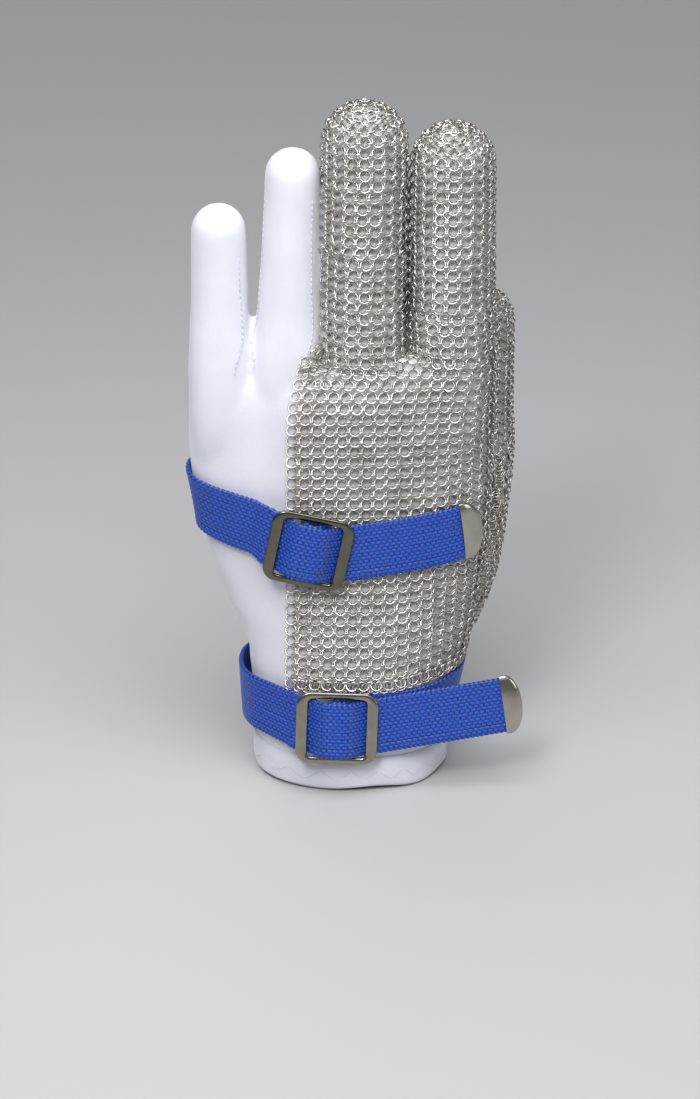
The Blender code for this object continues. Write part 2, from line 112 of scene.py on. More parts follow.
# Ring mesh
RING = 1.85  # mean radius
WIRE = 0.255  # wire radius
PITCH = 4.2  # along a row
ROW = 1.9  # between rows that are half a pitch apart
LEAN = math.radians(27)
RING_LIFT = 1.35  # of a ring's centre over the liner
RING_STEPS, WIRE_STEPS = 14, 6
MESH_BOTTOM = 39.3
SEAM_ANGLE = math.radians(-14)
MESH_RISE = 3.8  # of the hem's height on the thumb side
# The mesh's free edge along the back and the palm: height, x
EDGE = (
    (34, -20.2), (90, -19.8), (134, -19.3), (140, -18.4), (147, -17.0), (154, -15.0), (158, -12.4),
    (161, -11.0), (190, -11.0),
)

UP = Vector((0, 0, 1))


# ------------------------------------------------------------------ small tools


def ease(t, low, high):
    t = np.clip((t - low) / (high - low), 0, 1)
    return t * t * (3 - 2 * t)


def unit(v):
    return v / np.linalg.norm(v, axis=-1, keepdims=True)


def around(count):
    """That many angles, evenly round a circle."""
    return 2 * np.pi * np.arange(count) / count


def squared(turns, power):
    """Cosine and sine of angles, nearer to a square the smaller the power is under 1."""
    c, s = np.cos(turns), np.sin(turns)
    return np.sign(c) * np.abs(c) ** power, np.sign(s) * np.abs(s) ** power


def running_length(line):
    """How far along a line of points each of them lies."""
    return np.concatenate([[0], np.cumsum(np.linalg.norm(np.diff(line, axis=0), axis=1))])


def at_marks(marks, run, values):
    """Rows of values at marks along a running length."""
    return np.stack([np.interp(marks, run, values[:, i]) for i in range(3)], -1)


def new_object(name, mesh, *materials):
    obj = bpy.data.objects.new(name, mesh)
    bpy.context.scene.collection.objects.link(obj)
    for material in materials:
        mesh.materials.append(material)
    return obj


def mesh_of(name, points, faces):
    """A smooth mesh from points in mm and quads as an array, or faces of any size as a list."""
    mesh = bpy.data.meshes.new(name)
    points = np.asarray(points, float).reshape(-1, 3) * MM
    if isinstance(faces, np.ndarray):
        mesh.vertices.add(len(points))
        mesh.vertices.foreach_set("co", points.astype(np.float32).ravel())
        mesh.loops.add(faces.size)
        mesh.loops.foreach_set("vertex_index", faces.astype(np.int32).ravel())
        mesh.polygons.add(len(faces))
        mesh.polygons.foreach_set("loop_start", np.arange(0, faces.size, faces.shape[1], dtype=np.int32))
        mesh.update(calc_edges=True)
    else:
        mesh.from_pydata(points.tolist(), [], faces)
        mesh.update()
    mesh.shade_smooth()
    return mesh


def applied(obj):
    """The object's mesh with its modifiers, and the object removed."""
    bpy.context.view_layer.update()
    graph = bpy.context.evaluated_depsgraph_get()
    mesh = bpy.data.meshes.new_from_object(obj.evaluated_get(graph))
    bpy.data.objects.remove(obj)
    return mesh


def grid_faces(rows, columns, closed_rows=False, closed_columns=True):
    """Quads of a grid of points, row by row."""
    r = np.arange(rows if closed_rows else rows - 1)
    c = np.arange(columns if closed_columns else columns - 1)
    r, c = np.meshgrid(r, c, indexing="ij")
    this, after = r * columns, (r + 1) % rows * columns
    c2 = (c + 1) % columns
    return np.stack([this + c, this + c2, after + c2, after + c], -1).reshape(-1, 4)


def tube_faces(rows, columns, start=0):
    """Faces of a tube of points, ring by ring, with both ends closed."""
    faces = (grid_faces(rows, columns) + start).tolist()
    faces.append([start + i for i in reversed(range(columns))])
    faces.append([start + (rows - 1) * columns + i for i in range(columns)])
    return faces


# ------------------------------------------------------------------ materials


def material(name, colour, roughness, metallic=0.0):
    made = bpy.data.materials.new(name)
    made.use_nodes = True
    shader = made.node_tree.nodes["Principled BSDF"]
    shader.inputs["Base Color"].default_value = (*colour, 1)
    shader.inputs["Roughness"].default_value = roughness
    shader.inputs["Metallic"].default_value = metallic
    return made, made.node_tree.nodes, made.node_tree.links, shader


def noise(nodes, links, scale, detail=3.0, stretch=(1, 1, 1)):
    """A noise texture in the object's own space, at a scale per metre."""
    place = nodes.new("ShaderNodeTexCoord")
    mapping = nodes.new("ShaderNodeMapping")
    mapping.inputs["Scale"].default_value = stretch
    links.new(place.outputs["Object"], mapping.inputs["Vector"])
    made = nodes.new("ShaderNodeTexNoise")
    made.inputs["Scale"].default_value = scale
    made.inputs["Detail"].default_value = detail
    links.new(mapping.outputs["Vector"], made.inputs["Vector"])
    return made


def ramp(nodes, links, value, stops):
    made = nodes.new("ShaderNodeValToRGB")
    elements = made.color_ramp.elements
    while len(elements) < len(stops):
        elements.new(0.5)
    for element, (at, colour) in zip(elements, stops):
        element.position = at
        element.color = (*colour, 1)
    links.new(value, made.inputs["Fac"])
    return made


def bump(nodes, links, shader, height, strength, distance):
    made = nodes.new("ShaderNodeBump")
    made.inputs["Strength"].default_value = strength
    made.inputs["Distance"].default_value = distance
    links.new(height, made.inputs["Height"])
    links.new(made.outputs["Normal"], shader.inputs["Normal"])


def fabric_material():
    """Thin white knit: a faint lavender tint, soft sheen and a fine rib, with painted shade and painted warm
    steel reflection greying it under the rings.
    """
    made, nodes, links, shader = material("liner_knit", (0.72, 0.72, 0.79), 0.82)
    cloud = noise(nodes, links, 60, 4)
    shades = ((0.3, (0.68, 0.68, 0.76)), (0.7, (0.74, 0.74, 0.80)))
    tint = ramp(nodes, links, cloud.outputs["Fac"], shades)
    under = nodes.new("ShaderNodeAttribute")
    under.attribute_name = "under_rings"
    painted_shade_and_reflection = nodes.new("ShaderNodeMix")
    painted_shade_and_reflection.data_type = "RGBA"
    links.new(under.outputs["Fac"], painted_shade_and_reflection.inputs["Factor"])
    links.new(tint.outputs["Color"], painted_shade_and_reflection.inputs["A"])
    # Painted shade and painted reflection: this warm grey under the rings stands in for the rings' shadow on
    # the liner and the steel's warm reflections.
    painted_shade_and_reflection.inputs["B"].default_value = (0.60, 0.59, 0.57, 1)
    links.new(painted_shade_and_reflection.outputs["Result"], shader.inputs["Base Color"])
    knit = noise(nodes, links, 1400, 1, (1.6, 1.6, 0.6))
    bump(nodes, links, shader, knit.outputs["Fac"], 0.25, 0.0003)
    shader.inputs["Sheen Weight"].default_value = 0.25
    shader.inputs["Sheen Roughness"].default_value = 0.5
    return made


def thread_material(name, colour):
    made, nodes, links, shader = material(name, colour, 0.6)
    twist = noise(nodes, links, 2500, 2)
    light = tuple(min(c * 1.25, 1) for c in colour)
    tint = ramp(nodes, links, twist.outputs["Fac"], ((0.35, colour), (0.7, light)))
    links.new(tint.outputs["Color"], shader.inputs["Base Color"])
    return made


def webbing_material():
    """Royal blue nylon: the yarns' crests are painted light as a painted highlight and the grooves between
    them painted dark as painted shade.
    """
    made, nodes, links, shader = material("blue_webbing", (0.02, 0.09, 0.6), 0.38)
    relief = nodes.new("ShaderNodeAttribute")
    relief.attribute_name = "relief"
    fibre = noise(nodes, links, 1500, 2)
    mix = nodes.new("ShaderNodeMath")
    mix.operation = "MULTIPLY_ADD"
    links.new(fibre.outputs["Fac"], mix.inputs[0])
    mix.inputs[1].default_value = 0.35
    links.new(relief.outputs["Fac"], mix.inputs[2])
    # Painted light: low relief, the grooves, is painted near black as painted shade, and the crests light blue
    # as painted highlight; the fibre noise adds random tone.
    shades = ((0.15, (0.001, 0.004, 0.03)), (0.6, (0.004, 0.028, 0.25)), (0.98, (0.02, 0.095, 0.52)))
    tint = ramp(nodes, links, mix.outputs[0], shades)
    links.new(tint.outputs["Color"], shader.inputs["Base Color"])
    bump(nodes, links, shader, fibre.outputs["Fac"], 0.4, 0.0002)
    shader.inputs["Sheen Weight"].default_value = 0.15
    shader.inputs["Sheen Tint"].default_value = (0.3, 0.45, 1, 1)
    return made


def steel_material(name, colour, roughness):
    """Bright wire whose sides fall off to dark."""
    made, _, _, shader = material(name, colour, roughness, 1.0)
    shader.inputs["Specular Tint"].default_value = (0.12, 0.12, 0.11, 1)
    return made


def nickel_material(name, colour, roughness, scratch_stretch):
    """Polished plate with fine scratches, and slightly duller patches from handling."""
    made, nodes, links, shader = material(name, colour, roughness, 1.0)
    patches = noise(nodes, links, 250, 3)
    shades = ((0.3, tuple(c * 0.85 for c in colour)), (0.7, colour))
    tint = ramp(nodes, links, patches.outputs["Fac"], shades)
    links.new(tint.outputs["Color"], shader.inputs["Base Color"])
    scratches = noise(nodes, links, 900, 2, scratch_stretch)
    spread = nodes.new("ShaderNodeMapRange")
    spread.inputs["To Min"].default_value = roughness * 0.7
    spread.inputs["To Max"].default_value = roughness * 1.6
    links.new(scratches.outputs["Fac"], spread.inputs["Value"])
    links.new(spread.outputs["Result"], shader.inputs["Roughness"])
    bump(nodes, links, shader, scratches.outputs["Fac"], 0.08, 0.0001)
    return made


FABRIC = fabric_material()
STITCH = thread_material("liner_thread", (0.60, 0.61, 0.70))
BLUE_STITCH = thread_material("strap_thread", (0.06, 0.16, 0.62))
WEBBING = webbing_material()
STEELS = (
    steel_material("ring_steel", (0.64, 0.62, 0.585), 0.30),
    steel_material("ring_steel_bright", (0.80, 0.78, 0.75), 0.25),
    steel_material("ring_steel_dull", (0.46, 0.44, 0.40), 0.36),
)
# The wrist buckle's nickel is lighter than the hand buckle's as a painted reflection: it stands in for the
# brighter light that the wrist buckle reflects.
BUCKLE_NICKEL = {
    "hand": nickel_material("hand_buckle_nickel", (0.17, 0.158, 0.125), 0.13, (1, 1, 1)),
    "wrist": nickel_material("wrist_buckle_nickel", (0.36, 0.335, 0.27), 0.16, (1, 1, 1)),
}
TIP_NICKEL = nickel_material("tip_nickel", (0.48, 0.455, 0.39), 0.16, (0.1, 1, 6))


# ------------------------------------------------------------------ the glove's form


def section(table, height, reach):
    """The values of a table of sections at a height, averaged over a reach each way to round its corners."""
    table = np.array(table, float)
    near = height + np.linspace(-reach, reach, 7)
    return [np.interp(near, table[:, 0], column).mean() for column in table[:, 1:].T]


def hand_ring(height, tilt):
    """A section of the hand, filled out under the mesh."""
    left, right, depth = section(HAND, height, 7)
    turns = around(90)
    c, s = squared(turns, 2 / HAND_SQUARENESS)
    x = (left + right) / 2 + (right - left) / 2 * c
    grow = PUFF * ease(x, -27.0, -20.0) * ease(height, 30.0, 38.0) + 0.2
    x = x + grow * np.cos(turns)
    y = depth * s + grow * np.sin(turns)
    return np.stack([x, y, height + tilt * HAND_TOP_SLOPE * x], -1)


def closed_loft(name, rings):
    """A loft through rings of the same number of points, with flat ends."""
    return mesh_of(name, np.concatenate(rings), tube_faces(len(rings), len(rings[0])))


def hand_loft():
    level = [hand_ring(h, 0.0) for h in np.linspace(-10, 113, 40)]
    tilted = [hand_ring(h, ease(h, 113, 142)) for h in np.linspace(117, 151, 12)]
    return closed_loft("hand", level + tilted)


def ellipse(x, y, z, width, depth, squareness=2.0):
    c, s = squared(around(40), 2 / squareness)
    return np.stack([x + width * c, y + depth * s, np.full(len(c), float(z))], -1)


def round_end(x, y, z, width, depth):
    """Rings that close a digit in a round end, up to a small flat."""
    height = (width + depth) / 2
    turns = np.linspace(0, math.radians(84), 9)[1:]
    return [ellipse(x, y, z + height * np.sin(t), width * np.cos(t), depth * np.cos(t)) for t in turns]


def axis_x(name, height):
    """A finger's axis, which leans a little for the ring finger."""
    x, table = FINGER_FORMS[name]
    if name != "ring":
        return x
    return x + float(np.interp(height, (table[1][0], table[-1][0]), RING_FINGER_LEAN))


def finger_loft(name):
    table = FINGER_FORMS[name][1]
    top = table[-1][0]
    rings = []
    for h in np.linspace(table[0][0], top, 24):
        squareness = FOOT_SQUARENESS + (2 - FOOT_SQUARENESS) * ease(h, *FOOT_TO_ROUND)
        rings.append(ellipse(axis_x(name, h), FINGER_Y, h, *section(table, h, 6), squareness))
    end = round_end(axis_x(name, top), FINGER_Y, top, *section(table, top, 6))
    return closed_loft(name, rings + end)


def thumb_loft():
    top = THUMB[-1][0]
    rings = []
    for h in np.linspace(THUMB[0][0], top, 30):
        x, y, radius = section(THUMB, h, 5)
        rings.append(ellipse(x, y, h, radius, radius))
    return closed_loft("thumb", rings + round_end(x, y, top, radius, radius))


def merged_skin(parts):
    """The parts as one skin: voxels join them and smoothing rounds the webs between the digits."""
    made = bmesh.new()
    for mesh in parts:
        made.from_mesh(mesh)
    form = bpy.data.meshes.new("form")
    made.to_mesh(form)
    made.free()
    obj = new_object("form", form)
    voxels = obj.modifiers.new("Voxels", "REMESH")
    voxels.mode = "VOXEL"
    voxels.voxel_size = VOXEL * MM
    relax = obj.modifiers.new("Relax", "SMOOTH")
    relax.factor = 0.5
    relax.iterations = SMOOTH_PASSES
    return applied(obj)


class Skin:
    """A surface that rays are cast on, in mm."""

    def __init__(self, mesh):
        points = np.empty(len(mesh.vertices) * 3)
        mesh.vertices.foreach_get("co", points)
        faces = [tuple(p.vertices) for p in mesh.polygons]
        self.tree = BVHTree.FromPolygons((points.reshape(-1, 3) / MM).tolist(), faces)

    def hit(self, origin, way):
        place, normal, _, _ = self.tree.ray_cast(Vector(origin), Vector(way))
        return place, normal

    def inward(self, angle, height):
        """The outermost point in a direction from the hub, and its normal."""
        way = Vector((math.cos(angle), math.sin(angle), 0))
        start = Vector((*HUB, height)) + way * 120
        return self.hit(start, -way)

    def nearest(self, point):
        place, normal, _, _ = self.tree.find_nearest(Vector(point))
        return place, normal


FINGER_LOFTS = [finger_loft(name) for name in FINGERS]
HAND_LOFT = hand_loft()
FORM = merged_skin([HAND_LOFT, thumb_loft(), *FINGER_LOFTS])
GLOVE_SKIN = Skin(FORM)
HAND_SKIN = Skin(merged_skin([HAND_LOFT, *FINGER_LOFTS]))


# ------------------------------------------------------------------ which body a place moves with

JOINTS = {joint["name"]: joint for joint in frame["joints"]}
LONGEST_HALF_BEND = 16.0


def joint_place(name):
    return np.array(JOINTS[name]["pos_m"]) / MM


def bends():
    """Where each digit bends: its root from start to straight, its end from again to end."""
    made = {}
    for name in ALL_DIGITS:
        first = joint_place("thumb_spread" if name == "thumb" else name + "_base_bend")
        second = joint_place(name + "_tip_bend")
        half = min(LONGEST_HALF_BEND, (second[2] - first[2]) / 2)
        made[name] = {
            "x": first[0], "y": first[1], "start": first[2] - half, "straight": first[2] + half,
            "meet": (first[2] + second[2]) / 2, "again": second[2] - half, "end": second[2] + half,
        }
    return made


BENDS = bends()
LITTLE_BEND, INDEX_BEND = BENDS["little"], BENDS["index"]
# The slanted plane between the hand and its fingers: z = CUT_BASE + CUT_SLOPE * x
CUT_SLOPE = (INDEX_BEND["start"] - LITTLE_BEND["start"]) / (INDEX_BEND["x"] - LITTLE_BEND["x"])
CUT_BASE = min(BENDS[n]["start"] - CUT_SLOPE * BENDS[n]["x"] for n in FINGERS) - 1.0
BETWEEN = (-32.5, -9.0, 19.4)  # planes between neighbouring fingers of the liner
RINGS_BETWEEN = (-32.5, -9.8, 19.4)  # and of the mesh, whose rings reach further out
THUMB_SIDE_Y = 19.5
THUMB_CUT = BENDS["thumb"]["start"] - 0.5
RING_FINGER_ROOT, FIRST_MESHED, THUMB_ROOT = 3, 5, 9  # labels: 0 is the hand, then each digit's root and end


def label_of(points, between=BETWEEN):
    """The part that each point belongs to, as a label."""
    x, y, z = points[:, 0], points[:, 1], points[:, 2]
    label = np.zeros(len(points), int)
    finger = z > CUT_BASE + CUT_SLOPE * x
    which = np.searchsorted(between, x)
    thumb = (z > THUMB_CUT) & (y > THUMB_SIDE_Y)
    for i, name in enumerate(FINGERS):
        here = finger & (which == i) & ~thumb
        label[here] = 1 + 2 * i + (z[here] > BENDS[name]["meet"])
    label[thumb] = THUMB_ROOT + (z[thumb] > BENDS["thumb"]["meet"])
    return label


def digit_name(label):
    return ALL_DIGITS[(label - 1) // 2]


def part_name(label):
    if label == 0:
        return "hand"
    return digit_name(label) + ("_root", "_end")[(label - 1) % 2]


def packed_nodes(layer, part):
    """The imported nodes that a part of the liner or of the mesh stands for."""
    digit, _, zone = part.rpartition("_")
    if zone == "root":
        return [f"{layer}_{digit}_base", f"{layer}_{digit}_lower"]
    if zone == "end":
        return [f"{layer}_{digit}_knuckle", f"{layer}_{digit}_tip"]
    return [f"{layer}_{part}"]


def attach(obj, label):
    """Makes a piece of the hand move with the hand's body; any other piece only has its placing baked into its
    mesh.
    """
    if label == 0:
        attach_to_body(obj, "hand")
        return
    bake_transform(obj)


# ------------------------------------------------------------------ liner


def cut_skin(mesh):
    """The skin's points, faces and normals, open below, with an edge along every border between parts."""
    made = bmesh.new()
    made.from_mesh(mesh)

    def cut(point, normal, drop=False):
        bmesh.ops.bisect_plane(
            made, geom=made.verts[:] + made.edges[:] + made.faces[:], dist=1e-7,
            plane_co=Vector(point) * MM, plane_no=normal, clear_inner=drop,
        )

    cut((0, 0, HEM_TOP), (0, 0, 1), drop=True)
    cut((0, 0, CUT_BASE), (-CUT_SLOPE, 0, 1))
    for x in BETWEEN:
        cut((x, 0, 0), (1, 0, 0))
    for name in ALL_DIGITS:
        cut((0, 0, BENDS[name]["meet"]), (0, 0, 1))
    cut((0, 0, THUMB_CUT), (0, 0, 1))
    cut((0, THUMB_SIDE_Y, 0), (0, 1, 0))
    made.normal_update()
    made.verts.index_update()
    points = np.array([v.co for v in made.verts]) / MM
    normals = np.array([v.normal for v in made.verts])
    faces = [[v.index for v in f.verts] for f in made.faces]
    made.free()
    return points, faces, normals


def edge_at(height):
    return np.interp(height, *np.array(EDGE).T)


def under_rings(points):
    """How far each place of the liner is under the mesh, 0 to 1, which is how much painted shade and painted
    steel reflection it gets.
    """
    x, _, z = points.T
    labels = label_of(points)
    edge = edge_at(z)
    share = ease(x, edge - 0.5, edge + 1.0) * ease(z, MESH_BOTTOM - 1.5, MESH_BOTTOM)
    share = np.where((labels == 0) | (labels == RING_FINGER_ROOT), share, 0.0)
    return np.where(labels >= FIRST_MESHED, 1.0, share)


def shell_piece(name, points, faces, normals, wall):
    """A closed wall under the given faces, shaded as the whole skin is."""
    used = sorted({v for f in faces for v in f})
    index = {v: i for i, v in enumerate(used)}
    outer = points[used]
    inner = outer - normals[used] * wall
    count = len(used)
    top = [[index[v] for v in f] for f in faces]
    under = [[count + v for v in reversed(f)] for f in top]
    sides = {}
    for f in top:
        for a, b in zip(f, f[1:] + f[:1]):
            if (b, a) in sides:
                del sides[(b, a)]
            else:
                sides[(a, b)] = True
    rim = [[b, a, count + a, count + b] for a, b in sides]
    mesh = mesh_of(name, np.concatenate([outer, inner]), top + under + rim)
    mesh.normals_split_custom_set_from_vertices(np.concatenate([normals[used], -normals[used]]).tolist())
    # Each point's share of the painted shade and painted steel reflection under the rings.
    painted_shade_and_reflection = mesh.attributes.new("under_rings", "FLOAT", "POINT")
    painted_shade_and_reflection.data.foreach_set("value", np.tile(under_rings(outer), 2).astype(np.float32))
    return mesh


def soften(points, normals):
    """Slack in the fabric: folds over the wrist, an uneven surface and a crease between two fingers."""
    x, y, z = points.T
    slack = 0.10 * np.sin(x * 0.33 + 1.3 * np.sin(z * 0.11)) * np.sin(z * 0.21 + 0.5 * np.sin(y * 0.2))
    folds = 0.35 * np.exp(-(((z - 52) / 16) ** 2)) * np.sin(z * 0.55 + x * 0.18 + 1.5 * np.sin(y * 0.12))
    bare = 1 - ease(x, -28.0, -20.0)
    crease_x = -37.0 + 4.2 * ease(z, 146.0, 170.0)
    crease = CREASE * np.exp(-(((x - crease_x) / 1.9) ** 2))
    crease *= ease(z, 143.0, 155.0) * (1 - ease(z, 168.0, 176.0))
    return points + normals * (slack + folds * bare - crease)[:, None]


def make_liner():
    points, faces, normals = cut_skin(FORM)
    points = soften(points, normals)
    centres = np.array([points[f].mean(0) for f in faces])
    labels = label_of(centres)
    for label in np.unique(labels):
        part = part_name(label)
        chosen = [faces[i] for i in np.nonzero(labels == label)[0]]
        obj = new_object("fabric_" + part, shell_piece(part, points, chosen, normals, LINER_WALL), FABRIC)
        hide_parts(*packed_nodes("liner", part))
        attach(obj, label)


def hem_wave(angle, height):
    """How far the lower edge waves up and out at a place of the hem."""
    wave = 0.5 + 0.5 * math.sin(5 * angle + 0.7) * math.cos(2 * angle)
    up = 1.6 * wave * float(1 - ease(height, 0.0, 9.0))
    out = 0.3 * math.sin(9 * angle + height * 0.3) * float(1 - ease(height, 0.0, 10.0))
    return up, out


def hem_point(angle, height, lift):
    """A point of the hem, at a height and a lift over the liner before it waves."""
    place, normal = GLOVE_SKIN.inward(angle, max(height, 0.5))
    up, out = hem_wave(angle, height)
    point = place + Vector((normal.x, normal.y, 0)).normalized() * (lift + out)
    return point.x, point.y, height + up


def make_hem():
    """The folded hem: two layers of the fabric, rounded at the lower edge."""
    angles = around(200)
    profile = [(HEM_TOP + 1.6, 0.05), (HEM_TOP + 1.5, 0.55), (8.0, 0.75), (4.0, 0.8), (1.6, 0.75), (0.5, 0.5)]
    profile += [(0.0, -0.1), (0.5, -0.7), (1.6, -0.95), (HEM_TOP + 1.4, -0.95)]
    points = [hem_point(angle, height, lift) for height, lift in profile for angle in angles]
    faces = grid_faces(len(profile), len(angles), closed_rows=True)[:, ::-1]
    obj = new_object("fabric_hem", mesh_of("hem", points, faces), FABRIC)
    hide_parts("liner_hem")
    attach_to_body(obj, "hand")


def thread(line, radius, sides=6):
    """The points of a short tube along a line, ring by ring, thinner at its ends."""
    way = unit(np.gradient(line, axis=0))
    side = unit(np.cross(way, (0.31, 0.42, 0.85)))
    up = np.cross(way, side)
    turns = around(sides)
    thick = np.full(len(line), radius)
    thick[[0, -1]] *= 0.4
    spokes = np.cos(turns)[None, :, None] * side[:, None] + np.sin(turns)[None, :, None] * up[:, None]
    return line[:, None] + spokes * thick[:, None, None]


def stitches(name, lines, radius, finish):
    """Threads along lines of points, as one piece for each part that they lie on."""
    groups = {}
    for line in lines:
        line = np.array(line, float)
        label = int(label_of(line.mean(0)[None])[0])
        groups.setdefault(label, []).append(thread(line, radius))
    for label, threads in groups.items():
        faces, start = [], 0
        for tube in threads:
            rows, sides, _ = tube.shape
            faces += tube_faces(rows, sides, start)
            start += rows * sides
        points = np.concatenate([tube.reshape(-1, 3) for tube in threads])
        obj = new_object(f"{name}_{part_name(label)}", mesh_of(name, points, faces), finish)
        attach(obj, label)


def dashes(path, length, gap):
    """A path of points cut into stitches."""
    path = np.array(path)
    run = running_length(path)
    made = []
    at = 0.0
    while at + length < run[-1]:
        made.append(at_marks(np.linspace(at, at + length, 5), run, path))
        at += length + gap
    return made


def make_hem_stitches():
    """A zigzag of thread round the hem."""
    teeth, low, high = 50, 3.6, 7.4
    lines = []
    for i in range(teeth):
        first, last = (low, high) if i % 2 == 0 else (high, low)
        line = []
        for t in np.linspace(0.06, 0.94, 7):
            angle = 2 * math.pi * i / teeth + 2 * math.pi / teeth * t
            line.append(hem_point(angle, first + (last - first) * t, 0.86))
        lines.append(line)
    stitches("stitch_hem", lines, 0.14, STITCH)


SEAM_TURNS = {1: 42, -1: 14}  # degrees from the finger's width to its seam, on the thumb side and the other


def seam_line(name, side, face, low, high):
    """A seam up one side and one face of a finger: points where rays from its axis leave the skin."""
    line = []
    for z in np.arange(low, high, 1.0):
        turn = SEAM_TURNS[side] + 24 * math.exp(-((z - low) / 9) ** 2)
        angle = math.radians(face * (turn if side > 0 else 180 - turn))
        origin = Vector((axis_x(name, z), FINGER_Y, z))
        place, normal = GLOVE_SKIN.hit(origin, (math.cos(angle), math.sin(angle), 0))
        if place is not None and (place - origin).length < 17:
            line.append(tuple(place + normal * 0.12))
    return line


def make_finger_seams():
    """The seams of the strips between the fingers, on the little and the ring finger."""
    lines = []
    for name, side, low, high in (("little", 1, 148, 190), ("ring", 1, 150, 209), ("ring", -1, 150, 209)):
        for face in (-1, 1):
            path = seam_line(name, side, face, low, high)
            if len(path) > 4:
                lines += dashes(path, 1.7, 0.35)
    stitches("stitch_seam", lines, 0.2, STITCH)


make_liner()
make_hem()
make_hem_stitches()
make_finger_seams()


# ------------------------------------------------------------------ ring mesh


def ring_mesh(name, places, rows, outs, leans, kinds):
    """Wire rings. Each lies across its row's direction and outward, leaned about the row."""
    rows = unit(rows - outs * np.sum(rows * outs, -1, keepdims=True))
    ups = np.cross(outs, rows)
    second = ups * np.cos(leans)[:, None] + outs * np.sin(leans)[:, None]
    axis = np.cross(rows, second)
    turn, side = around(RING_STEPS), around(WIRE_STEPS)
    spoke = np.cos(turn)[None, :, None] * rows[:, None] + np.sin(turn)[None, :, None] * second[:, None]
    reach = RING + WIRE * np.cos(side)
    points = (
        places[:, None, None] + reach[None, None, :, None] * spoke[:, :, None]
        + (WIRE * np.sin(side))[None, None, :, None] * axis[:, None, None]
    )
    one = grid_faces(RING_STEPS, WIRE_STEPS, closed_rows=True)
    one = one[:, [0, 3, 2, 1]]
    each = RING_STEPS * WIRE_STEPS
    faces = (one[None] + (np.arange(len(places)) * each)[:, None, None]).reshape(-1, 4)
    mesh = mesh_of(name, points.reshape(-1, 3), faces)
    for steel in STEELS:
        mesh.materials.append(steel)
    mesh.polygons.foreach_set("material_index", np.repeat(kinds, len(one)).astype(np.int32))
    return mesh


RINGS = []  # each one's place, row direction, outward direction, lean and panel
PANELS = ("back", "thumb_side", "palm")
BACK, THUMB_PANEL, PALM = 0, 1, 2
PANEL_SPLIT_X = 24.0
TABLE_ANGLES = np.radians(np.arange(-200, 200, 1.5))
THUMB_PARTS = (103.0, 106.0)  # heights between which the hand's rows leave the thumb
SEAM_FROM, SEAM_FULL, SEAM_DROP, SEAM_FADE = 72.0, 105.0, 9.0, 45.0
PALM_ANGLE = 1.2  # past it, a row that goes round ends at the free edge
MESH_TOP = 160.0
HEM_ROWS = ((-0.9, 0.05, 0.0), (-0.2, 0.55, 0.5))  # height from the lowest row, lift, start in pitches
HEM_PITCH = 2.9
FILL_OVER, FILL_APART = 2.22, 2.2  # how bare a place is before it is filled, and the fillings' spacing


def add_ring(place, row, out, lean, panel):
    RINGS.append((tuple(place), tuple(row), tuple(out), lean, panel))


def panel_at(x, beside):
    """The panel of a ring on the hand, which is the back's unless it lies beside or behind it."""
    if not beside:
        return BACK
    return THUMB_PANEL if x > PANEL_SPLIT_X else PALM


def build_rings():
    """Makes the rings, as one piece for each panel of the hand and each part of a digit."""
    places, rows, outs, leans, panels = (np.array(values) for values in zip(*RINGS))
    count = len(places)
    outs = unit(outs)
    places = places + RANDOM.normal(0, 0.03, (count, 3))
    twist = RANDOM.normal(0, math.radians(2.5), count)[:, None]
    rows = rows + np.cross(outs, rows) * twist
    leans = leans + RANDOM.normal(0, math.radians(2.5), count)
    kinds = RANDOM.choice(3, count, p=(0.6, 0.22, 0.18))
    labels = label_of(places, RINGS_BETWEEN)
    labels[labels == RING_FINGER_ROOT] = 0
    for label in np.unique(labels):
        here = labels == label
        if label == 0:
            groups = [(PANELS[panel], here & (panels == panel)) for panel in np.unique(panels[here])]
        elif digit_name(label) in MESHED_DIGITS:
            groups = [(part_name(label), here)]
        else:
            continue
        for part, chosen in groups:
            mesh = ring_mesh(part, places[chosen], rows[chosen], outs[chosen], leans[chosen], kinds[chosen])
            obj = new_object("rings_" + part, mesh)
            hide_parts(*packed_nodes("mesh", part))
            attach(obj, label)


def hand_hit(angle, height):
    """The hand's skin, without the thumb above its root."""
    if height < THUMB_PARTS[0]:
        return GLOVE_SKIN.inward(angle, height)
    if height > THUMB_PARTS[1]:
        return HAND_SKIN.inward(angle, height)
    low, low_normal = GLOVE_SKIN.inward(angle, height)
    high, high_normal = HAND_SKIN.inward(angle, height)
    t = float(ease(height, *THUMB_PARTS))
    return low.lerp(high, t), low_normal.lerp(high_normal, t).normalized()


def rise_at(x, height):
    """How much higher than on the back the lowest rows lie on the thumb side."""
    return MESH_RISE * ease(x, 10.0, 38.0) * (1 - ease(height, 44.0, 86.0))


def add_hand_ring(angle, height, lean, panel, tilt=0.0, lift=RING_LIFT):
    place, _ = hand_hit(angle, height)
    place, out = hand_hit(angle, height + float(rise_at(place.x, height)))
    row = UP.cross(out).normalized()
    row = row * math.cos(tilt) + out.cross(row) * math.sin(tilt)
    add_ring(place + out * lift, row, out, lean, panel)


def row_places(height):
    """Where a row starts at the free edge, where it meets the thumb seam, and its running length."""
    points = np.array([tuple(hand_hit(a, height)[0]) for a in TABLE_ANGLES])
    run = running_length(points)
    front = (TABLE_ANGLES > math.radians(-178)) & (TABLE_ANGLES < SEAM_ANGLE)
    start = float(np.interp(edge_at(height), points[front][:, 0], run[front]))
    return start, float(np.interp(SEAM_ANGLE, TABLE_ANGLES, run)), run


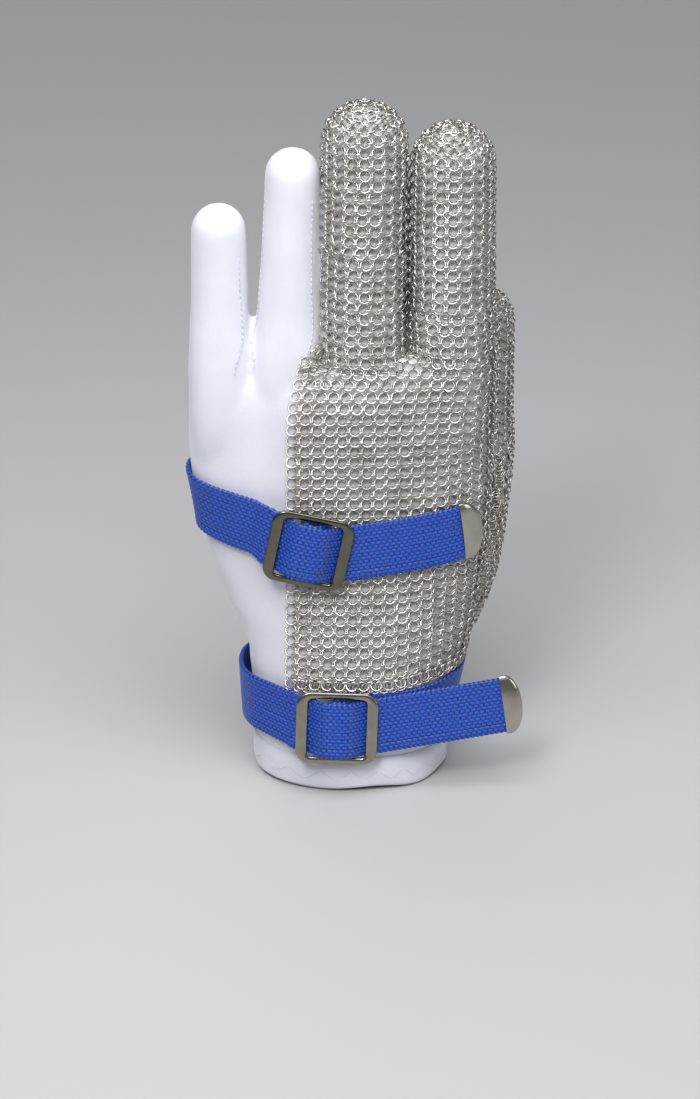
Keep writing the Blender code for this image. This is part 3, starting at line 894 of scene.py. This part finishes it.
def add_row(height, lean, marks, run):
    """A level row of rings, from the free edge round the hand to the other free edge."""
    for mark in marks:
        angle = float(np.interp(mark, run, TABLE_ANGLES))
        place, _ = hand_hit(angle, height)
        if angle > PALM_ANGLE and place.x < edge_at(height):
            return
        add_hand_ring(angle, height, lean, panel_at(place.x, angle > SEAM_ANGLE))


def add_climbing_row(height, lean, drop, seam, marks, run):
    """A row round the thumb side and the palm that starts lower at the seam and climbs away from it."""
    for mark in marks:
        away = mark - seam
        level = height - drop * float(1 - ease(away, 0.0, SEAM_FADE))
        tilt = math.atan(1.5 * drop / SEAM_FADE) if away < SEAM_FADE else 0.0
        angle = float(np.interp(mark, run, TABLE_ANGLES))
        place, _ = hand_hit(angle, level)
        if place is None or (angle > PALM_ANGLE and place.x < edge_at(level)):
            return
        add_hand_ring(angle, level, lean, panel_at(place.x, True), tilt)


def make_hand_rings():
    for k in range(int((MESH_TOP + SEAM_DROP - MESH_BOTTOM) / ROW)):
        height = MESH_BOTTOM + k * ROW
        start, seam, run = row_places(height)
        lean = LEAN if k % 2 else -LEAN
        offset = PITCH / 2 if k % 2 else 0.0
        drop = SEAM_DROP * float(ease(height, SEAM_FROM, SEAM_FULL))
        sewn = drop > 0.3
        if height < MESH_TOP:
            add_row(height, lean, np.arange(start + offset, seam - 0.8 if sewn else run[-1], PITCH), run)
        if sewn:
            marks = np.arange(seam + 1.2 + offset, run[-1], PITCH)
            add_climbing_row(height, lean, drop, seam, marks, run)
        if sewn and k % 2 == 0 and height < MESH_TOP:
            add_hand_ring(SEAM_ANGLE, height, math.radians(60), BACK, math.radians(90))


def make_hem_rings():
    """Closely set rings that double the lowest row."""
    start, _, run = row_places(MESH_BOTTOM)
    for below, lift, share in HEM_ROWS:
        for mark in np.arange(start + share * HEM_PITCH, run[-1], HEM_PITCH):
            angle = float(np.interp(mark, run, TABLE_ANGLES))
            place, _ = hand_hit(angle, MESH_BOTTOM)
            if angle > PALM_ANGLE and place.x < EDGE[0][1]:
                break
            panel = panel_at(place.x, angle > SEAM_ANGLE)
            add_hand_ring(angle, MESH_BOTTOM + below, LEAN * (2 * share - 0.5), panel, lift=RING_LIFT + lift)


def trim_rings():
    """Drops the rings past the hand's top, where the digits' own rings go on, and those inside the thumb."""
    labels = label_of(np.array([ring[0] for ring in RINGS]), RINGS_BETWEEN)
    kept = []
    for ring, label in zip(RINGS, labels):
        place = ring[0]
        near, normal = GLOVE_SKIN.nearest(place)
        beside = label == RING_FINGER_ROOT and place[0] > edge_at(place[2]) - 0.5
        if (label == 0 or beside) and (Vector(place) - near).dot(normal) > 0.3:
            kept.append(ring)
    RINGS[:] = kept


def digit_hits(name, origin, lift):
    """Places, directions out and angles round a digit's axis, or None where its own skin isn't met."""
    found = []
    for angle in np.radians(np.arange(-90, 270, 3.0)):
        way = Vector((math.cos(angle) * math.cos(lift), math.sin(angle) * math.cos(lift), math.sin(lift)))
        place, out = GLOVE_SKIN.hit(origin, way)
        if place is None or (place - origin).length > 26:
            found.append(None)
            continue
        point = place + out * RING_LIFT
        label = int(label_of(np.array(point)[None], RINGS_BETWEEN)[0])
        own = label and digit_name(label) == name
        found.append((tuple(point), tuple(out), angle) if own else None)
    return found


def runs_of(found):
    """The unbroken runs of hits, and whether one goes all the way round and ends where it starts."""
    count = len(found)
    if all(found):
        return [found + [(*found[0][:2], found[0][2] + 2 * math.pi)]], True
    first = next(i for i in range(count) if found[i] is None)
    runs, run = [], []
    for i in range(count + 1):
        hit = found[(first + i) % count]
        if hit is None:
            if len(run) > 2:
                runs.append(run)
            run = []
            continue
        turned = hit[2] + (2 * math.pi if first + i >= count else 0)
        run.append((hit[0], hit[1], turned))
    return runs, False


def add_digit_row(run, closed, odd, lean):
    """The rings along one run of hits, evenly spread where the run is closed."""
    points, outs, angles = (np.array(values) for values in zip(*run))
    length = running_length(points)
    if closed:
        count = max(int(round(length[-1] / PITCH)), 3)
        marks = (np.arange(count) + (0.5 if odd else 0.0)) * length[-1] / count
    else:
        marks = np.arange(0.6 + (PITCH / 2 if odd else 0.0), length[-1], PITCH)
    places, ways = at_marks(marks, length, points), at_marks(marks, length, outs)
    for place, out, turn in zip(places, ways, np.interp(marks, length, angles)):
        add_ring(place, (-math.sin(turn), math.cos(turn), 0), out, lean, BACK)


def make_digit_rings(name):
    """Rows round a digit in step with the hand's, then over its round end."""
    if name == "thumb":
        start = BENDS["thumb"]["start"] - 4
        dome, x, y, width = THUMB[-1]
        depth = width
    else:
        x, table = FINGER_FORMS[name]
        start, y = CUT_BASE + CUT_SLOPE * (x - 16), FINGER_Y
        dome, width, depth = table[-1]
    radius = (width + depth) / 2 + RING_LIFT
    first = math.ceil((start - MESH_BOTTOM) / ROW)
    rows = int((dome + radius * math.pi / 2 - MESH_BOTTOM) / ROW)
    for k in range(first, rows + 1):
        along = MESH_BOTTOM + k * ROW - dome
        lift = max(along, 0) / radius
        if lift > math.radians(86):
            break
        runs, closed = runs_of(digit_hits(name, Vector((x, y, dome + min(along, 0))), lift))
        for run in runs:
            add_digit_row(run, closed, k % 2, LEAN if k % 2 else -LEAN)


def covered(points):
    """Whether the mesh covers each place of the skin."""
    x, _, z = points.T
    labels = label_of(points)
    hand = (labels == 0) & (z > MESH_BOTTOM + rise_at(x, z)) & (x > edge_at(z) + 1.0)
    finger_foot = (labels == RING_FINGER_ROOT) & (x > edge_at(z) + 0.5) & (z < 157)
    return (labels >= FIRST_MESHED) | hand | finger_foot


def fill_gaps():
    """Adds rings wherever the rows leave the liner bare: at the crotches, the seams and the thumb's web."""
    points = np.array([v.co for v in FORM.vertices]) / MM
    normals = np.array([v.normal for v in FORM.vertices])
    wanted = covered(points)
    normals = normals[wanted]
    places = points[wanted] + normals * RING_LIFT
    tree = KDTree(len(RINGS))
    for i, ring in enumerate(RINGS):
        tree.insert(ring[0], i)
    tree.balance()
    near = np.array([tree.find(place)[2] for place in places])
    added = []
    for i in np.argsort(-near):
        if near[i] <= FILL_OVER:
            break
        if added and np.min(np.linalg.norm(np.array(added) - places[i], axis=1)) < FILL_APART:
            continue
        added.append(places[i])
        out = Vector(normals[i])
        row = UP.cross(out)
        row = row.normalized() if row.length > 0.2 else Vector((1, 0, 0))
        panel = panel_at(places[i][0], out.x > 0.3 or places[i][1] > 0)
        add_ring(places[i], row, out, LEAN if len(added) % 2 else -LEAN, panel)


make_hand_rings()
make_hem_rings()
trim_rings()
for digit in MESHED_DIGITS:
    make_digit_rings(digit)
fill_gaps()
build_rings()


# ------------------------------------------------------------------ straps

WEB_WIDTH = 20.0
WEB = 1.5  # thickness
YARN_LENGTH, YARN_WIDTH = 1.95, 1.2  # of one crest of the weave
RELIEF = 0.42
SELVEDGE = 1.0
WEB_STEP, WEB_SIDE_STEP = 0.38, 0.26  # between points along the webbing and across it
PATH_STEP = 0.6
GAP = 0.3
BUCKLE_LENGTH, BUCKLE_HEIGHT, BUCKLE_THICKNESS = 28.4, 25.6, 1.5
SIDE_BAR, EDGE_BAR, CENTRE_BAR = 4.05, 2.3, 3.0
CORNER, INNER_CORNER = 5.0, 1.6
PRESSED = 0.55  # power that squares the section of the buckle's bars
SLOT_LENGTH, SLOT_HEIGHT = 3.6, 2.1
UNDER_BAR = -(BUCKLE_THICKNESS / 2 + GAP + WEB / 2)  # the webbing's middle, from the buckle's
TIP_WIDTH, TIP_THICKNESS, TIP_POCKET = 21.2, 3.2, 3.0
STRAPS = {
    "hand": {
        "x": -14.2, "z": 89.2, "lift": 7.8, "turn": -12.0, "tail_turn": 7.7, "wrap": (150, 207), "tip": 8.0,
    },
    "wrist": {
        "x": -4.6, "z": 25.8, "lift": 5.3, "turn": -2.0, "tail_turn": 7.6, "wrap": (-112, 216), "tip": 6.8,
    },
}
STITCHED = (2.5, 15.0)  # from the wrist buckle's edge, along the strap
ENTRY_SHIFT = 1.9  # of the strap up along the side bar that it enters under
MESH_OFFSET, MESH_WALL = 2.3, 1.6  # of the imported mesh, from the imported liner
LAID = GAP + WEB / 2  # the middle of webbing that lies on the liner, from the liner
OVER_MESH = MESH_OFFSET + MESH_WALL + LAID + 0.6

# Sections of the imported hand, which the buckles and the hand strap's end lie over
PACKED_HAND = (
    (0, -33.5, 33.5, 31.0), (22, -34.0, 34.0, 28.5), (46, -35.4, 36.2, 23.0), (58, -40.4, 39.0, 20.7),
    (69, -45.2, 42.0, 18.5), (89, -50.8, 44.5, 16.0), (112, -55.0, 45.0, 15.0), (165, -54.4, 45.0, 14.5),
)


def back_point(x, z, lift):
    """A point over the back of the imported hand."""
    table = np.array(PACKED_HAND, float)
    left, right, depth = (float(np.interp(z, table[:, 0], column)) for column in table[:, 1:].T)
    share = abs((x - (left + right) / 2) / ((right - left) / 2 + lift))
    return Vector((x, -(depth + lift) * (1 - share**HAND_SQUARENESS) ** (1 / HAND_SQUARENESS), z))


def buckle_place(strap):
    """The buckle's frame: along the strap, across it, and out of the hand, from the centre bar's middle."""
    x, z, lift = strap["x"], strap["z"], strap["lift"]
    half = WEB_WIDTH / 2
    upright = (back_point(x, z + half, lift) - back_point(x, z - half, lift)).normalized()
    turn = math.radians(strap["turn"])
    level = Vector((1, 0, 0))
    along = level * math.cos(turn) + upright * math.sin(turn)
    across = upright * math.cos(turn) - level * math.sin(turn)
    return back_point(x, z, lift), along, across, along.cross(across)


def smoothed(values, passes):
    """A line of points relaxed, with its ends kept."""
    values = np.array(values, float)
    for _ in range(passes):
        values[1:-1] = values[1:-1] * 0.5 + (values[:-2] + values[2:]) * 0.25
    return values


def resampled(line, across, step):
    """A line and its width directions at an even spacing, and how far along it each point lies."""
    run = running_length(line)
    marks = np.linspace(0, run[-1], int(run[-1] / step) + 1)
    return at_marks(marks, run, line), unit(at_marks(marks, run, across)), marks


def weave(along, aside):
    """Height of the woven surface, 0 in the grooves and 1 on a yarn's crest."""
    column = np.floor(aside / YARN_WIDTH)
    across = 2 * (aside / YARN_WIDTH - column) - 1
    shifted = along / YARN_LENGTH + 0.5 * (column % 2)
    length = 2 * (shifted - np.floor(shifted)) - 1
    return np.sqrt(np.clip(1 - across**2, 0, 1)) * np.clip(1 - np.abs(length) ** 2.6, 0, 1) ** 0.6


def webbing(name, line, across):
    """Woven webbing along a line: a flat tube whose faces carry the weave, between two rope-like edges."""
    line, across, marks = resampled(np.array(line, float), np.array(across, float), WEB_STEP)
    way = unit(np.gradient(line, axis=0))
    across = unit(across - way * np.sum(across * way, -1, keepdims=True))
    out = np.cross(way, across)
    half, thick = WEB_WIDTH / 2, WEB / 2
    flat = np.arange(-half + SELVEDGE, half - SELVEDGE + 1e-6, WEB_SIDE_STEP)
    bend = np.radians(np.arange(75, -76, -30))
    edge_x = half - SELVEDGE + SELVEDGE * np.cos(bend)
    edge_y = thick * 1.12 * np.sin(bend)
    side_x = np.concatenate([flat, edge_x, -flat, -edge_x])
    side_y = np.concatenate([np.full(len(flat), thick), edge_y, np.full(len(flat), -thick), -edge_y])
    on_edge = np.tile(np.repeat([False, True], [len(flat), len(bend)]), 2)[None]
    u = np.broadcast_to(marks[:, None], (len(marks), len(side_x)))
    v = np.broadcast_to(side_x[None], u.shape)
    lower = side_y[None] < 0
    relief = weave(u + np.where(lower, YARN_LENGTH / 2, 0), v + half)
    rope = 0.5 + 0.5 * np.sin(2 * np.pi * u / 1.7 + np.sign(v) * side_y[None] * 2.2 + np.sign(v))
    relief = np.where(on_edge, rope, relief)
    relief = relief * np.clip(RANDOM.normal(0.95, 0.06, relief.shape), 0.7, 1.05)
    push = (relief - 0.75) * RELIEF
    slant = np.arctan2(side_y, np.abs(side_x) - half + SELVEDGE)[None]
    x = v + np.sign(v) * np.where(on_edge, push * 0.9 * np.cos(slant), 0)
    y = side_y[None] + np.sign(side_y)[None] * np.where(on_edge, push * 0.6, push)
    points = line[:, None] + across[:, None] * x[..., None] + out[:, None] * y[..., None]
    mesh = mesh_of(name, points.reshape(-1, 3), [f[::-1] for f in tube_faces(*u.shape)])
    # The relief also drives the material's painted shade in the grooves and painted highlight on the crests.
    attribute = mesh.attributes.new("relief", "FLOAT", "POINT")
    attribute.data.foreach_set("value", relief.astype(np.float32).ravel())
    return new_object(name, mesh, WEBBING), marks[-1]


def frame_matrix(origin, axis_x, axis_y, axis_z):
    matrix = Matrix((axis_x, axis_y, axis_z)).transposed().to_4x4()
    return Matrix.Translation(origin) @ matrix


def placed_points(points, place):
    matrix = np.array(place)
    return points @ matrix[:3, :3].T + matrix[:3, 3]


def rounded(length, height, radius, steps=8):
    """The points of a rectangle with round corners."""
    points = []
    for sx, sy, first in ((1, 1, 0), (-1, 1, 90), (-1, -1, 180), (1, -1, 270)):
        cx, cy = sx * (length / 2 - radius), sy * (height / 2 - radius)
        for i in range(steps + 1):
            turn = math.radians(first + 90 * i / steps)
            points.append((cx + radius * math.cos(turn), cy + radius * math.sin(turn)))
    return np.array(points)


def make_buckle(strap_name, strap):
    """The slide buckle: a pressed frame with domed bars, and the bar that the strap is sewn round."""
    outer = rounded(BUCKLE_LENGTH, BUCKLE_HEIGHT, CORNER)
    inner = rounded(BUCKLE_LENGTH - 2 * SIDE_BAR, BUCKLE_HEIGHT - 2 * EDGE_BAR, INNER_CORNER)
    steps = 16
    turns = around(steps)
    c, s = squared(turns, PRESSED)
    share = 0.5 - 0.5 * c
    flat = outer[:, None] * (1 - share)[None, :, None] + inner[:, None] * share[None, :, None]
    height = np.broadcast_to(BUCKLE_THICKNESS / 2 * s, flat.shape[:2])
    points = np.concatenate([flat, height[..., None]], -1).reshape(-1, 3)
    bar_end = BUCKLE_HEIGHT / 2 - 1.0
    bar = [
        np.stack([CENTRE_BAR / 2 * np.cos(turns), np.full(steps, v), 0.62 * np.sin(turns)], -1)
        for v in np.linspace(-bar_end, bar_end, 12)
    ]
    faces = grid_faces(len(outer), steps, closed_rows=True).tolist()
    faces += [f[::-1] for f in tube_faces(len(bar), steps, len(points))]
    place = frame_matrix(*buckle_place(strap))
    mesh = mesh_of(strap_name + "_frame", placed_points(np.concatenate([points, *bar]), place), faces)
    mesh.set_sharp_from_angle(angle=math.radians(50))
    obj = new_object(strap_name + "_slide_buckle", mesh, BUCKLE_NICKEL[strap_name])
    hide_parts(strap_name + "_buckle")
    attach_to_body(obj, strap_name + "_buckle")


def pass_path(strap):
    """The webbing's way through the buckle: under the side bars and over the sewn loop."""
    origin, along, across, out = buckle_place(strap)
    wall_u, wall_n = SLOT_LENGTH / 2 + WEB, SLOT_HEIGHT / 2 + WEB
    high = wall_n + WEB / 2 + 0.4
    end = BUCKLE_LENGTH / 2 + GAP
    bar = BUCKLE_LENGTH / 2 - SIDE_BAR
    rise = [(bar - 0.1, UNDER_BAR), (bar - 1.5, UNDER_BAR + 0.6)]
    rise += [(wall_u + 1.7, high - 0.8), (wall_u + 0.1, high)]
    aside = [ENTRY_SHIFT, ENTRY_SHIFT * 0.25, 0, 0, 0]
    path = [(-u, n, v) for (u, n), v in zip([(end, UNDER_BAR), *rise], aside)]
    path += [(u, n, 0) for u, n in reversed([(bar + 2.4, UNDER_BAR), *rise])]
    return [np.array(origin + along * u + out * n + across * v) for u, n, v in path], np.array(across)


def make_anchor(strap_name, strap):
    """The sewn loop round the centre bar."""
    origin, along, across, out = buckle_place(strap)
    wall_u, wall_n = SLOT_LENGTH / 2 + WEB / 2, SLOT_HEIGHT / 2 + WEB / 2
    path = [(6.2, -wall_n), (3.0, -wall_n)]
    path += [(wall_u * math.cos(t), wall_n * math.sin(t)) for t in np.radians(np.linspace(-60, -300, 26))]
    path += [(3.0, wall_n * 0.1)]
    path = smoothed(path, 3)
    line = [np.array(origin + along * u + out * n) for u, n in path]
    obj, _ = webbing(strap_name + "_sewn_loop", line, [np.array(across)] * len(line))
    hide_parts(strap_name + "_strap_anchor")
    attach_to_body(obj, "hand")


def hand_course(t):
    """The hand strap's lift and height, from the palm's edge round the little-finger side to the buckle."""
    lift = LAID - 0.1 + (OVER_MESH - LAID) * float(ease(t, 0.6, 1.0)) * 0.8
    return lift, 105.4 - 10.8 * max((t - 0.15) / 0.85, 0) ** 1.6


def wrist_course(t):
    """The wrist strap's lift and height, from under the buckle right round the wrist to the buckle."""
    lift = LAID + GAP + float(ease(t, 0.0, 0.2)) + 1.3 * float(ease(t, 0.6, 0.8))
    thumb_side, palm, little_side = ease(t, 0.1, 0.25), ease(t, 0.32, 0.75), ease(t, 0.8, 1.0)
    return lift, 27.5 + 2.2 * float(thumb_side) - 4.4 * float(palm) + 3.4 * float(little_side)


def wrap_path(strap, course):
    first, last = strap["wrap"]
    line, across = [], []
    half = WEB_WIDTH / 2
    for t in np.arange(121) / 120:
        angle = math.radians(first + (last - first) * t)
        lift, z = course(t)
        edges = []
        for h in (z - half, z, z + half):
            place, _ = GLOVE_SKIN.inward(angle, h)
            r = math.hypot(place.x - HUB[0], place.y - HUB[1]) + lift
            edges.append(np.array((HUB[0] + r * math.cos(angle), HUB[1] + r * math.sin(angle), h)))
        line.append(edges[1])
        across.append(unit(edges[2] - edges[0]))
    return line, across


def make_tip(strap_name, length, end, way, across):
    """The metal end: a D of two pressed sides, domed, closed over the webbing."""
    rows, columns = 22, 40
    c, s = squared(around(columns), 0.75)
    rings = []
    for t in np.linspace(0, 1, rows):
        u = (length - 0.02) * math.sin(t * math.pi / 2)
        bulge = max(1 - (max(u - 1.5, 0) / (length - 1.5)) ** 2, 0.0)
        width = TIP_WIDTH / 2 * math.sqrt(bulge) + 0.02
        thick = TIP_THICKNESS / 2 * (1 - 0.72 * (u / length) ** 2.4) * min(1, math.sqrt(bulge) * 1.4 + 0.05)
        rings.append(np.stack([np.full(columns, u), width * c, thick * s], -1))
    axes = (Vector(axis) for axis in (way, across, np.cross(way, across)))
    place = frame_matrix(Vector(end - way * TIP_POCKET), *axes)
    points = placed_points(np.concatenate(rings), place)
    mesh = mesh_of(strap_name + "_tip", points, tube_faces(rows, columns))
    mesh.set_sharp_from_angle(angle=math.radians(55))
    obj = new_object(strap_name + "_end_cap", mesh, TIP_NICKEL)
    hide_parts(strap_name + "_strap_tip")
    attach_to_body(obj, strap_name + "_strap_end")
    return obj


def make_strap_stitches(line, across):
    """A short row of stitches along the wrist strap's middle, left of the buckle."""
    entry = np.array(buckle_place(STRAPS["wrist"])[0]) - (BUCKLE_LENGTH / 2, 0, 0)
    near = int(np.argmin(np.linalg.norm(line - entry, axis=1)))
    span = slice(near - int(STITCHED[1] / PATH_STEP), near - int(STITCHED[0] / PATH_STEP))
    outs = np.cross(unit(np.gradient(line, axis=0)), unit(across))
    path = line[span] + outs[span] * (WEB / 2 + 0.2) - across[span] * 1.2
    stitches("strap_stitch", dashes(path, 1.5, 0.4), 0.16, BLUE_STITCH)


def make_wrap(strap_name, strap, course):
    """The webbing from where it is sewn on or laid under, round the hand and through the buckle."""
    line, across = wrap_path(strap, course)
    through, through_across = pass_path(strap)
    line = np.array(line[:-3] + through)
    across = np.array(across[:-3] + [through_across] * len(through))
    line, across, _ = resampled(line, across, PATH_STEP)
    line = smoothed(line, 10)
    across = smoothed(across, 30)
    wrap, length = webbing(strap_name + "_webbing", line, across)
    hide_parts(strap_name + "_strap_wrap", strap_name + "_strap_pass")
    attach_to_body(wrap, "hand")
    if strap_name == "wrist":
        make_strap_stitches(line, across)


def hand_tail(start):
    """Along the back of the hand, over the mesh, rising to the thumb side."""
    line, across = [], []
    half = WEB_WIDTH / 2
    rise = math.tan(math.radians(STRAPS["hand"]["tail_turn"]))
    for i in range(1, 9):
        x = start.x + 4.4 + (i - 0.05) * 5.15
        z = start.z + (x - start.x) * rise
        line.append(np.array(back_point(x, z, OVER_MESH + GAP)))
        upright = back_point(x, z + half, OVER_MESH) - back_point(x, z - half, OVER_MESH)
        across.append(np.array(upright.normalized()))
    return line, across


def wrist_tail(start):
    """Straight past the side of the wrist, held by nothing."""
    rise = math.radians(STRAPS["wrist"]["tail_turn"])
    way = Vector((math.cos(rise), 0.10, math.sin(rise)))
    across = np.array(buckle_place(STRAPS["wrist"])[2])
    return [np.array(start + way * (4.4 + 11.7 * i)) for i in range(1, 5)], [across] * 4


def make_tail(strap_name, strap, course):
    """The free end, from under the buckle's side bar to the metal tip."""
    origin, along, across, out = buckle_place(strap)
    start = origin + along * (BUCKLE_LENGTH / 2 - SIDE_BAR - 0.3) + out * UNDER_BAR
    rest, rest_across = course(start)
    line = np.array([np.array(start)] + rest)
    across = np.array([np.array(across)] + rest_across)
    line, across, _ = resampled(line, across, PATH_STEP)
    line, across = smoothed(line, 8), unit(smoothed(across, 30))
    tail, length = webbing(strap_name + "_webbing_end", line, across)
    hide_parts(strap_name + "_strap_tail")
    way = unit(line[-1] - line[-4])
    side = unit(across[-1] - way * across[-1].dot(way))
    tip = make_tip(strap_name, strap["tip"], line[-1], way, side)
    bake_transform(tail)


for strap_name, wrap_course, tail_course in (
    ("hand", hand_course, hand_tail),
    ("wrist", wrist_course, wrist_tail),
):
    strap = STRAPS[strap_name]
    make_buckle(strap_name, strap)
    make_anchor(strap_name, strap)
    make_wrap(strap_name, strap, wrap_course)
    make_tail(strap_name, strap, tail_course)


# ------------------------------------------------------------------ floor, lights and camera


def make_stage():
    floor_mesh = bpy.data.meshes.new("floor")
    made = bmesh.new()
    bmesh.ops.create_grid(made, x_segments=2, y_segments=2, size=40.0)
    made.to_mesh(floor_mesh)
    made.free()
    pale, _, _, _ = material("pale_floor", (0.5, 0.5, 0.51), 0.7)
    new_object("floor", floor_mesh, pale)

    world = bpy.data.worlds.new("studio")
    bpy.context.scene.world = world
    world.use_nodes = True
    world.node_tree.nodes["Background"].inputs["Color"].default_value = (0.78, 0.80, 0.84, 1)
    world.node_tree.nodes["Background"].inputs["Strength"].default_value = 0.22
    bpy.context.scene.view_settings.view_transform = "Standard"

    def light(name, kind, place, power, target=(0, 0, 0.13)):
        data = bpy.data.lights.new(name, kind)
        data.energy = power
        obj = bpy.data.objects.new(name, data)
        obj.location = place
        obj.rotation_euler = (Vector(target) - Vector(place)).to_track_quat("-Z", "Y").to_euler()
        obj.visible_camera = False
        bpy.context.scene.collection.objects.link(obj)
        return data

    def softbox(name, place, size, power):
        data = light(name, "AREA", place, power)
        data.shape = "RECTANGLE"
        data.size, data.size_y = size

    light("soft_sky", "SUN", (0.0, -0.4, 1.0), 0.75).angle = math.radians(80)
    light("soft_back", "SUN", (-0.4, 1.0, 0.9), 0.5).angle = math.radians(60)
    softbox("key", (-0.3, -0.8, 0.95), (0.28, 0.28), 5.2)
    softbox("overhead", (0.0, -0.22, 0.62), (0.5, 0.4), 2.6)
    softbox("fill", (0.9, -0.5, 0.4), (0.3, 0.5), 1.2)


def make_camera():
    """Looks down 25 degrees at the back of the hand, from a metre away."""
    camera = bpy.data.cameras.new("camera")
    camera.sensor_fit = "VERTICAL"
    camera.sensor_width = camera.sensor_height = 36
    camera.lens = 96
    obj = bpy.data.objects.new("camera", camera)
    target = Vector((0, -0.019, 0.0876))
    elevation = math.radians(25)
    obj.location = target + Vector((0, -math.cos(elevation), math.sin(elevation)))
    obj.rotation_euler = (target - obj.location).to_track_quat("-Z", "Y").to_euler()
    bpy.context.scene.collection.objects.link(obj)
    bpy.context.scene.camera = obj


make_stage()
make_camera()
